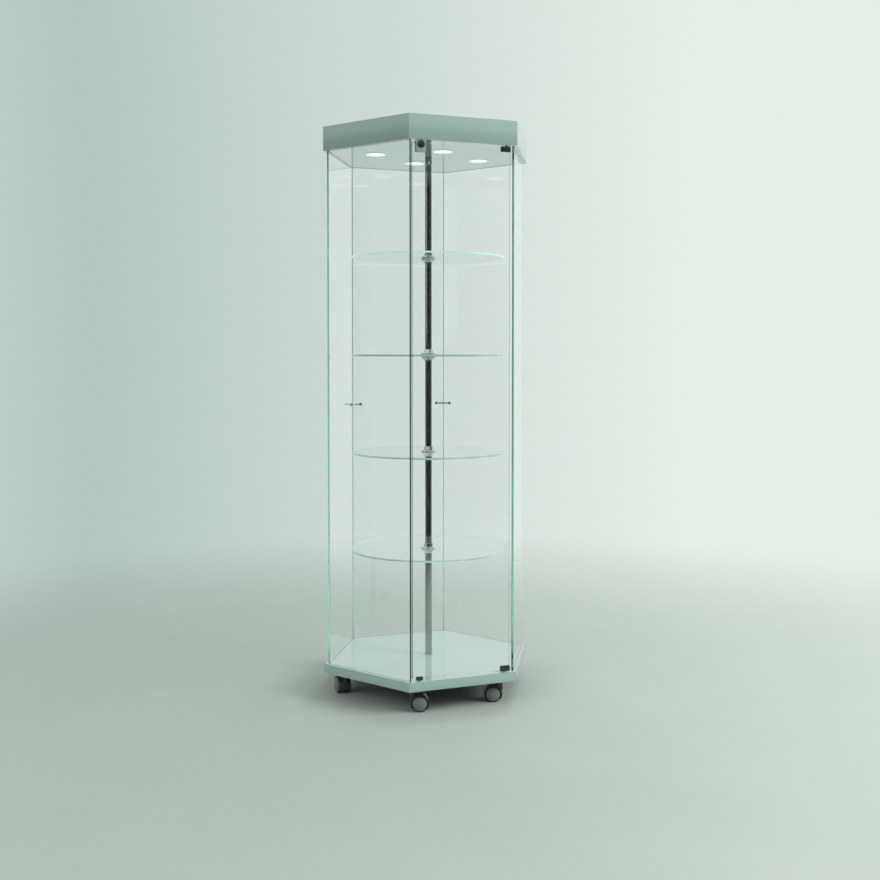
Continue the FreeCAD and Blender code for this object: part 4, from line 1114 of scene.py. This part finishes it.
# %% Both clamps
jaws, jaw_screws = [], []
for upper in (False, True):
    clamp, screws = pivot_clamp(upper)
    jaws.append(clamp)
    jaw_screws += screws
hand_over(give(joined("door_pivot_clamps", jaws), DARK_CHROME), "door", "dark_chrome", "pivot_clamps")
hand_over(give(joined("clamp_grubs", jaw_screws), STEEL), "door", "steel", "clamp_screws")

# %% Catch
SLOT_EASE = 0.00005          # keeps metal and glass from lying in one plane
low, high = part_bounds("catch_clamp")
catch = slotted_block(
    "door_catch", low, high, door_low.y - SLOT_EASE, door_high.y + SLOT_EASE, door_low.z - SLOT_EASE, True,
    FITTING_ROUNDING,
)
hand_over(give(catch, DARK_CHROME), "door", "dark_chrome", "catch_clamp")

# %% [markdown]
# The lock hangs over the notch in the top edge of the glass. Its case is a slotted block too, closed by a
# short barrel inside the notch, with a round rosette on its face. A bore goes through them for the cylinder.
# That stands proud, with a keyway cut in its face and a thin tail behind that carries the cam.

# %% Lock case
BARREL_RADIUS = 0.010
LOCK_BORE = 0.00806
LOCK_ROUNDING = 0.0014
LOCK_GAP = 0.0001            # lock to glass
ROSETTE_RADIUS = 0.0123
ROSETTE_PROUD = 0.0012
lock_axis = Vector(joints["lock_turn"]["pos_m"])
case_low, case_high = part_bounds("lock_body")
slot_low = door_low.y - LOCK_GAP
slot_high = door_high.y + LOCK_GAP
slot_floor = door_high.z + LOCK_GAP

lock = slotted_block("lock_case", case_low, case_high, slot_low, slot_high, slot_floor, False, LOCK_ROUNDING)
barrel_ends = at_depth(lock_axis, slot_low - LOCK_GAP), at_depth(lock_axis, slot_high + LOCK_GAP)
combine(lock, "UNION", cylinder_between("barrel", *barrel_ends, BARREL_RADIUS, 48))
case_middle = Vector(((case_low.x + case_high.x) / 2, 0, lock_axis.z))
rosette_ends = [at_depth(case_middle, case_low.y + side * ROSETTE_PROUD) for side in (-1, 1)]
rosette = cylinder_between("rosette", *rosette_ends, ROSETTE_RADIUS, 64)
round_edges(rosette, ROSETTE_PROUD / 2, 3)
bore_ends = at_depth(lock_axis, case_low.y - LOCK_BORE), at_depth(lock_axis, case_high.y + LOCK_BORE)
for drilled in (lock, rosette):
    drill(drilled, *bore_ends, LOCK_BORE, 64)
    smooth(drilled)
lock = joined("lock_case", [give(lock, NICKEL), give(rosette, DARKENED_ROSETTE)])
hand_over(lock, "door", "lock_nickel", "lock_body")

# %% Lock cylinder
CYLINDER_RADIUS = 0.008
CYLINDER_EDGE = 0.0012
EDGE_SHARE = 0.3             # the middle point of a rounded edge, as a share of its width
TAIL_RADIUS = 0.003
KEYWAY = Vector((0.0014, 0.006, 0.009))      # width, twice the depth, length
KEYWAY_ROUNDING = 0.00042


def upright_to_y(piece):
    """Lays an upright piece down, so that its top points along +Y."""
    piece.rotation_euler = (-math.pi / 2, 0, 0)
    bake_place(piece)


def soft_box(name, low, high, rounding, segments):
    """A box between two corners with all its edges rounded."""
    box = box_between(name, low, high)
    edit(box, picked="SELECT")
    bpy.ops.mesh.bevel(offset=rounding, segments=segments, affect="EDGES")
    return finish_mesh(box)


front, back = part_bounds("lock_cylinder")
rim = CYLINDER_EDGE * EDGE_SHARE
cylinder = turned(
    "lock_plug",
    [
        (CYLINDER_RADIUS - CYLINDER_EDGE, front.y), (CYLINDER_RADIUS - rim, front.y + rim),
        (CYLINDER_RADIUS, front.y + CYLINDER_EDGE), (CYLINDER_RADIUS, case_high.y),
        (TAIL_RADIUS, case_high.y), (TAIL_RADIUS, back.y),
    ],
)
upright_to_y(cylinder)
cylinder.location = at_depth(lock_axis, 0)
bake_place(cylinder)
face_centre = Vector(at_depth(lock_axis, front.y))
keyway = soft_box("keyway", face_centre - KEYWAY / 2, face_centre + KEYWAY / 2, KEYWAY_ROUNDING, 2)
combine(cylinder, "DIFFERENCE", keyway)
smooth(cylinder)
hand_over(give(cylinder, DARK_CHROME), "lock_barrel", "lock_nickel", "lock_cylinder")

# %% [markdown]
# ## The spots and the cable grommet
#
# A spot shows a white ring with a rolled edge and a frosted lens behind it. The ring's section goes round
# once, with its sleeve, and the bevel rounds the rim. The grommet in the lid is a ring too, waisted where it
# grips the board.

# %% Spots
RING_ROUNDING = 0.0005
SPOT_RING_RADIUS = 0.033
WINDOW = 0.024
LEDGE = 0.022
SLEEVE = 0.0255
SLEEVE_HEIGHT = 0.010
RING_DEPTH = 0.0025
RING_CHAMFER = 0.001
LENS_EDGE = 0.0006
SPOT_PLACES = ((SPOT_X, 0), (0, SPOT_Y), (-SPOT_X, 0), (0, -SPOT_Y))
ceiling_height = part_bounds("ceiling_board")[0].z
lens_low, lens_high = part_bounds("spot_lenses")

ring = turned(
    "ring_pattern",
    [
        (LEDGE, RING_CHAMFER - RING_DEPTH), (LEDGE + RING_CHAMFER, -RING_DEPTH),
        (SPOT_RING_RADIUS - RING_CHAMFER, -RING_DEPTH), (SPOT_RING_RADIUS, RING_CHAMFER - RING_DEPTH),
        (SPOT_RING_RADIUS, 0), (SLEEVE, 0), (SLEEVE, SLEEVE_HEIGHT),
        (WINDOW, SLEEVE_HEIGHT), (WINDOW, 0), (LEDGE, 0),
    ],
    96, closed=True,
)
round_edges(ring, RING_ROUNDING)
lens = turned(
    "lens_pattern",
    [
        (LENS_RADIUS - LENS_EDGE, 0), (LENS_RADIUS, LENS_EDGE), (LENS_RADIUS, lens_high.z - lens_low.z),
    ],
    96,
)
smooth(lens)
places = [Matrix.Translation((x, y, ceiling_height)) for x, y in SPOT_PLACES]
rings = give(repeated("lamp_rings", ring, places), RING_WHITE)
lenses = give(repeated("lamp_lenses", lens, places), LENS_GLASS)
hand_over(rings, "cabinet", "spot_ring", "spot_rings")
hand_over(lenses, "cabinet", "frosted_lens", "spot_lenses")

# %% Cable grommet
CORD_BORE = 0.0035
WAIST = 0.00997
GROMMET_LIP = 0.002
GROMMET_ROUNDING = 0.0005
low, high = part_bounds("cable_grommet")
lip_radius = (high.x - low.x) / 2

grommet = turned(
    "lid_grommet",
    [
        (CORD_BORE, low.z), (lip_radius, low.z), (lip_radius, low.z + GROMMET_LIP),
        (WAIST, low.z + GROMMET_LIP), (WAIST, high.z - GROMMET_LIP),
        (lip_radius, high.z - GROMMET_LIP), (lip_radius, high.z), (CORD_BORE, high.z),
    ],
    48, closed=True,
)
round_edges(grommet, GROMMET_ROUNDING)
grommet.location = (0, (low.y + high.y) / 2, 0)
bake_place(grommet)
hand_over(give(grommet, RUBBER), "cabinet", "rubber", "cable_grommet")

# %% [markdown]
# ## The castors
#
# A twin-wheel castor has a plastic hood whose web stands between two wheels. The hood's cover is a flat
# section with soft corners, spun round the axle, the web is a disc that is cut off above the floor, and the
# neck holds the stem. Booleans make one moulding of them. The axle trails behind the stem, so the pattern is
# made in the stem's frame, and every copy is turned to its own heading.

# %% Sizes of the hood
AXLE_HEIGHT = 0.025
TRAIL = 0.020
COVER_OUTER = 0.028
COVER_INNER = 0.026
COVER_HALF = 0.0195
COVER_CORNER = 0.0009
SKIRT = 0.015                # cover below the axle
SPIN_STEPS = 40
WEB_HALF = 0.0055
WEB_RADIUS = (COVER_OUTER + COVER_INNER) / 2
WEB_GROUND_GAP = 0.009
NECK_RADIUS = 0.011
NECK_LOW = 0.034
NECK_TOP = 0.0695
NECK_EDGE = 0.0012
CUTTER_EDGE = 0.00001        # the cutter's edges, barely broken
STEM_END = 0.038
STEM_BORE = 0.00408
AXLE_BORE = 0.00306
axle = Vector((TRAIL, 0, AXLE_HEIGHT))
SIDEWAYS = Vector((0, 1, 0))
print("axle", round(TRAIL, 3), "m behind the stem,", AXLE_HEIGHT, "m above the floor")


# %% Hood, in three parts
def hood_cover(name):
    """The curved cover, spun over the wheels from one skirt to the other."""
    down = math.asin(SKIRT / WEB_RADIUS)
    start = axle + WEB_RADIUS * Vector((math.cos(down), 0, -math.sin(down)))
    release()
    bpy.ops.mesh.primitive_plane_add(size=1, location=start, rotation=(0, down, 0))
    cover = fresh(name, (COVER_OUTER - COVER_INNER, 2 * COVER_HALF, 1))
    edit(cover, "VERT", "SELECT")
    bpy.ops.mesh.bevel(offset=COVER_CORNER, segments=3, affect="VERTICES")
    bpy.ops.mesh.select_all(action="SELECT")
    bpy.ops.mesh.spin(steps=SPIN_STEPS, angle=math.pi + 2 * down, center=axle, axis=(0, 1, 0))
    return finish_mesh(cover)


def hood_web():
    """The disc between the wheels, cut off above the floor."""
    web = cylinder_between("web", axle - WEB_HALF * SIDEWAYS, axle + WEB_HALF * SIDEWAYS, WEB_RADIUS, 64)
    edit(web, picked="SELECT")
    bpy.ops.mesh.bisect(plane_co=(0, 0, WEB_GROUND_GAP), plane_no=(0, 0, 1), clear_inner=True, use_fill=True)
    return finish_mesh(web)


def hood_neck():
    """The neck, free of the wheels on both sides of the web."""
    rim = NECK_EDGE * EDGE_SHARE
    neck = turned(
        "neck",
        [
            (NECK_RADIUS, NECK_LOW), (NECK_RADIUS, NECK_TOP - NECK_EDGE),
            (NECK_RADIUS - rim, NECK_TOP - rim), (NECK_RADIUS - NECK_EDGE, NECK_TOP),
        ],
        48,
    )
    reach = 2 * NECK_RADIUS
    for side in (-1, 1):
        drill(neck, axle + side * WEB_HALF * SIDEWAYS, axle + side * reach * SIDEWAYS, WEB_RADIUS, 64)
        near_y, far_y = sorted((side * WEB_HALF, side * reach))
        wheel_room = soft_box(
            "wheel_room",
            (-reach, near_y, NECK_LOW - NECK_RADIUS), (reach, far_y, AXLE_HEIGHT + COVER_INNER),
            CUTTER_EDGE, 1,
        )
        combine(neck, "DIFFERENCE", wheel_room)
    return neck


# %% Hood
hood = hood_cover("hood_pattern")
for addition in (hood_web(), hood_neck()):
    combine(hood, "UNION", addition)
drill(hood, (0, 0, STEM_END), (0, 0, NECK_TOP + STEM_BORE), STEM_BORE, 32)
drill(hood, axle - 2 * WEB_HALF * SIDEWAYS, axle + 2 * WEB_HALF * SIDEWAYS, AXLE_BORE, 32)
smooth(hood)
give(hood, HOOD_PLASTIC)
print("hood", [round(1000 * length, 1) for length in hood.dimensions], "mm")

# %% [markdown]
# A wheel is turned: a blind bore for the axle, a tread with round shoulders, a fine groove, and the domed
# cap. The cap is a lighter plastic than the tread, so its faces take a material of their own.

# %% Wheels
WHEEL_RADIUS = 0.025
WHEEL_WIDTH = 0.0135
SHOULDER = 0.002
SHOULDER_STEPS = 4
CAP_RADIUS = 0.0215
DOME = 0.0075
GROOVE = 0.0005
BLIND_END = 0.0105
WHEEL_GAP = 0.0005
AXLE_RADIUS = 0.003
DOME_RINGS = 9
POLE = 0.0008
dome_sphere = (CAP_RADIUS ** 2 + DOME ** 2) / (2 * DOME)


def shoulder(side, centre_height):
    """Points of a quarter round on the tread, from the inner face outwards for -1, else to the outer one."""
    points = []
    for step in range(SHOULDER_STEPS + 1):
        angle = math.pi / 2 * step / SHOULDER_STEPS
        if side > 0:
            angle = math.pi / 2 - angle
        radius = WHEEL_RADIUS - SHOULDER + SHOULDER * math.sin(angle)
        points.append((radius, centre_height + side * SHOULDER * math.cos(angle)))
    return points


def dome_height(radius):
    return WHEEL_WIDTH + DOME - dome_sphere + math.sqrt(dome_sphere ** 2 - radius ** 2)


profile = [(AXLE_BORE, BLIND_END), (AXLE_BORE, 0)]
profile += shoulder(-1, SHOULDER) + shoulder(1, WHEEL_WIDTH - SHOULDER)
profile += [
    (CAP_RADIUS + GROOVE, WHEEL_WIDTH), (CAP_RADIUS + GROOVE / 2, WHEEL_WIDTH - GROOVE),
    (CAP_RADIUS, WHEEL_WIDTH),
]
for ring_index in range(1, DOME_RINGS + 1):
    radius = CAP_RADIUS + (POLE - CAP_RADIUS) * ring_index / DOME_RINGS
    profile.append((radius, dome_height(radius)))
wheel = give(turned("wheel_pattern", profile), TREAD)
finish_faces(
    wheel, CAP_SILVER,
    lambda centre, normal: centre.z > WHEEL_WIDTH - GROOVE and centre.xy.length < CAP_RADIUS,
)
smooth(wheel)
upright_to_y(wheel)
wheel_offset = (WEB_HALF + WHEEL_GAP) * SIDEWAYS
right_place = Matrix.Translation(axle + wheel_offset)
left_place = Matrix.Translation(axle - wheel_offset) @ Matrix.Rotation(math.pi, 4, "Z")
rod_end = wheel_offset + BLIND_END * SIDEWAYS
rod = give(cylinder_between("axle", axle - rod_end, axle + rod_end, AXLE_RADIUS, 32), STEEL)
pair = [copied(wheel, "right", right_place), copied(wheel, "left", left_place)]
wheel_set = joined("wheels_pattern", pair + [rod])
discard(wheel)
print("wheels", len(wheel_set.data.polygons), "faces")

# %% Six castors
castor_count = sum(name.endswith("wheel_roll") for name in joints)
for number in range(1, castor_count + 1):
    node = f"castor_{number}"
    stem = Vector(joints[node + "_swivel_turn"]["pos_m"])
    roll_centre = Vector(joints[node + "_wheel_roll"]["pos_m"])
    heading = math.atan2(roll_centre.y - stem.y, roll_centre.x - stem.x)
    place = Matrix.Translation((stem.x, stem.y, 0)) @ Matrix.Rotation(heading, 4, "Z")
    moulding = copied(hood, node + "_moulding", place)
    wheels = copied(wheel_set, node + "_twin_wheels", place)
    hand_over(moulding, node + "_swivel", "castor_hood", node + "_hood")
    hand_over(wheels, node + "_roll", "castor_wheel", node + "_wheels")
discard(hood, wheel_set)

# %% [markdown]
# ## Floor and backdrop
#
# The floor is a pale disc, painted a little lighter towards the right, a painted light. Towards its rim it
# fades out, so the world behind takes over, with no horizon.
#
# What the world shows depends on how a ray got there. The eye sees the backdrop, a pale grey-green that gets
# lighter to the right, and through glass it sees a paler one. Mirrors see the backdrop on the far side and a
# studio on the near side: dark where the camera stands, grey at the sides, pale above, with a tall strip
# light at the left that draws the bright line down the column. Everything else gets a fill that is weak from
# below.

# %% Floor
FLOOR_RADIUS = 14.0
FADE_START = 0.9
FADE_END = 3.3
# Painted light: over this span of X the floor's tone turns lighter to the right.
PAINTED_LIGHT_TURN = (-0.25, 0.55)   # from here to here, the left tone gives way to the right one

release()
bpy.ops.mesh.primitive_circle_add(vertices=128, radius=FLOOR_RADIUS, fill_type="NGON")
floor = bpy.context.object
floor.name = "floor"
finish = Finish("pale_floor")
coordinates = finish.node("ShaderNodeTexCoord").wire("Object")
distance = finish.node("ShaderNodeVectorMath", {"operation": "LENGTH"}, {0: coordinates}).wire("Value")
# Painted light: the floor's tone is lighter to the right.
painted_light_share = finish.limited(finish.parts(coordinates)[0], *PAINTED_LIGHT_TURN)
cloud = finish.noise(2.5, 3.0)
shaded_floor_tone = finish.blend(cloud, colour(180, 193, 183), colour(186, 199, 190))
lit_floor_tone = finish.blend(cloud, colour(184, 196, 187), colour(190, 202, 194))
matt = finish.principled(
    Base_Color=finish.blend(painted_light_share, shaded_floor_tone, lit_floor_tone),
    Roughness=finish.spread(finish.noise(60.0, 3.0), 0.50, 0.60),
    Normal=finish.bump(finish.noise(400.0, 3.0), 0.03, 0.0005),
    IOR=1.12,
)
clear = finish.node("ShaderNodeBsdfTransparent").wire()
fade_sockets = {0: distance, 1: FADE_START, 2: FADE_END, 3: 0.0, 4: 1.0}
fade = finish.node("ShaderNodeMapRange", {"interpolation_type": "SMOOTHSTEP"}, fade_sockets).wire()
give(floor, finish.show(finish.node("ShaderNodeMixShader", None, {0: fade, 1: matt, 2: clear}).wire()))

# %% Tones of the studio
BACKDROP = (
    (0.10, colour(236, 243, 239)), (0.36, colour(180, 198, 192)), (0.475, colour(205, 218, 212)),
    (0.60, colour(229, 238, 231)),
)
THROUGH_GLASS = (
    (0.10, colour(240, 246, 243)), (0.36, colour(192, 209, 207)), (0.475, colour(219, 231, 229)),
    (0.60, colour(240, 246, 243)),
)
NEAR_STUDIO = (0.008, 0.011, 0.010, 1.0)
SIDE_STUDIO = (0.16, 0.18, 0.17, 1.0)
UPPER_STUDIO = (0.62, 0.68, 0.65, 1.0)
STRIP_LIGHT = (0.92, 0.98, 0.95, 1.0)
FILL = (0.55, 0.56, 0.555, 1.0)
FILL_LOW = (0.04, 0.042, 0.04, 1.0)
# Each pair is a part of the view direction, over which one thing gives way to the next.
FAR_SIDE = (0.3, 0.7)
CAMERA_SIDE = (-0.7, -0.3)
UPPER_SIDE = (0.135, 0.19)
STRIP_LEFT = (-0.97, -0.94)
STRIP_RIGHT = (-0.84, -0.78)
STRIP_DEPTH = (-0.1, 0.0)
STRIP_FOOT = (0.0, 0.02)
FILL_RISE = (0.10, 0.42)
FADES_OUT = (1.0, 0.0)

# %% World
world = bpy.data.worlds.new("studio")
bpy.context.scene.world = world
studio = Finish("studio", world)
east, north, up = studio.parts(studio.node("ShaderNodeTexCoord").wire("Generated"))
to_right = east * math.cos(HEADING) - north * math.sin(HEADING)
ahead = east * math.sin(HEADING) + north * math.cos(HEADING)
across = studio.limited(to_right, -1.0, 1.0)
backdrop = studio.ramp(across, BACKDROP)
far_side = studio.limited(ahead, *FAR_SIDE)
strip = studio.limited(to_right, *STRIP_LEFT) * studio.limited(to_right, *STRIP_RIGHT, *FADES_OUT)
strip = strip * studio.limited(ahead, *STRIP_DEPTH, *FADES_OUT) * studio.limited(up, *STRIP_FOOT)
near_side = studio.blend(studio.limited(ahead, *CAMERA_SIDE), NEAR_STUDIO, SIDE_STUDIO)
near_side = studio.blend(studio.limited(up, *UPPER_SIDE), near_side, UPPER_STUDIO)
near_side = studio.blend(strip, near_side, STRIP_LIGHT)
path = studio.node("ShaderNodeLightPath")
mirrored = studio.blend(far_side, near_side, backdrop)
clear_view = studio.ramp(across, THROUGH_GLASS)
through = studio.blend(far_side, near_side, clear_view)
bounces = path.wire("Glossy Depth") + path.wire("Diffuse Depth")
straight = studio.limited(bounces, 0.0, 1.0, *FADES_OUT)
fill = studio.blend(studio.limited(up, *FILL_RISE), FILL_LOW, FILL)
light = studio.blend(path.wire("Is Glossy Ray"), fill, mirrored)
light = studio.blend(path.wire("Is Transmission Ray"), light, studio.blend(straight, through, clear_view))
light = studio.blend(path.wire("Is Camera Ray"), light, backdrop)
background = studio.node("ShaderNodeBackground", None, {"Color": light, "Strength": 1.0}).wire()
studio.show(background, kind="ShaderNodeOutputWorld")

# %% [markdown]
# ## Lamps
#
# Four soft lamps: a key at the front right, so the right-hand faces are lighter than the left-hand ones, a
# weaker fill at the left, one behind at the right that throws the shadow of the base forward, and a small
# one over the base that lights the ceiling from below. Mirror-like surfaces don't see the lamps, only the
# calm backdrop, or every sheet of glass would show white squares.

# %% Soft lamps
LAMPS = (                    # name, place, aim, size, power
    ("key", (2.9, -2.6, 2.6), (0, 0, 0.9), 2.0, 122.0),
    ("fill", (-3.4, -1.2, 2.2), (0, 0, 0.9), 2.0, 26.0),
    ("back", (2.4, 2.0, 2.9), (0, 0, 0.9), 1.2, 38.0),
    ("bounce", (0, 0, 0.13), (0, 0, 1.7), 0.42, 10.0),
)
for name, place, aim, size, power in LAMPS:
    release()
    bpy.ops.object.light_add(type="AREA", location=place)
    lamp = bpy.context.object
    lamp.name = name + "_lamp"
    lamp.rotation_euler = (Vector(aim) - lamp.location).to_track_quat("-Z", "Y").to_euler()
    lamp.data.shape = "SQUARE"
    lamp.data.size = size
    lamp.data.energy = power
    lamp.visible_camera = False
    lamp.visible_glossy = False
    lamp.visible_transmission = False
bpy.context.scene.view_settings.view_transform = "Standard"
print(len(LAMPS), "soft lamps")
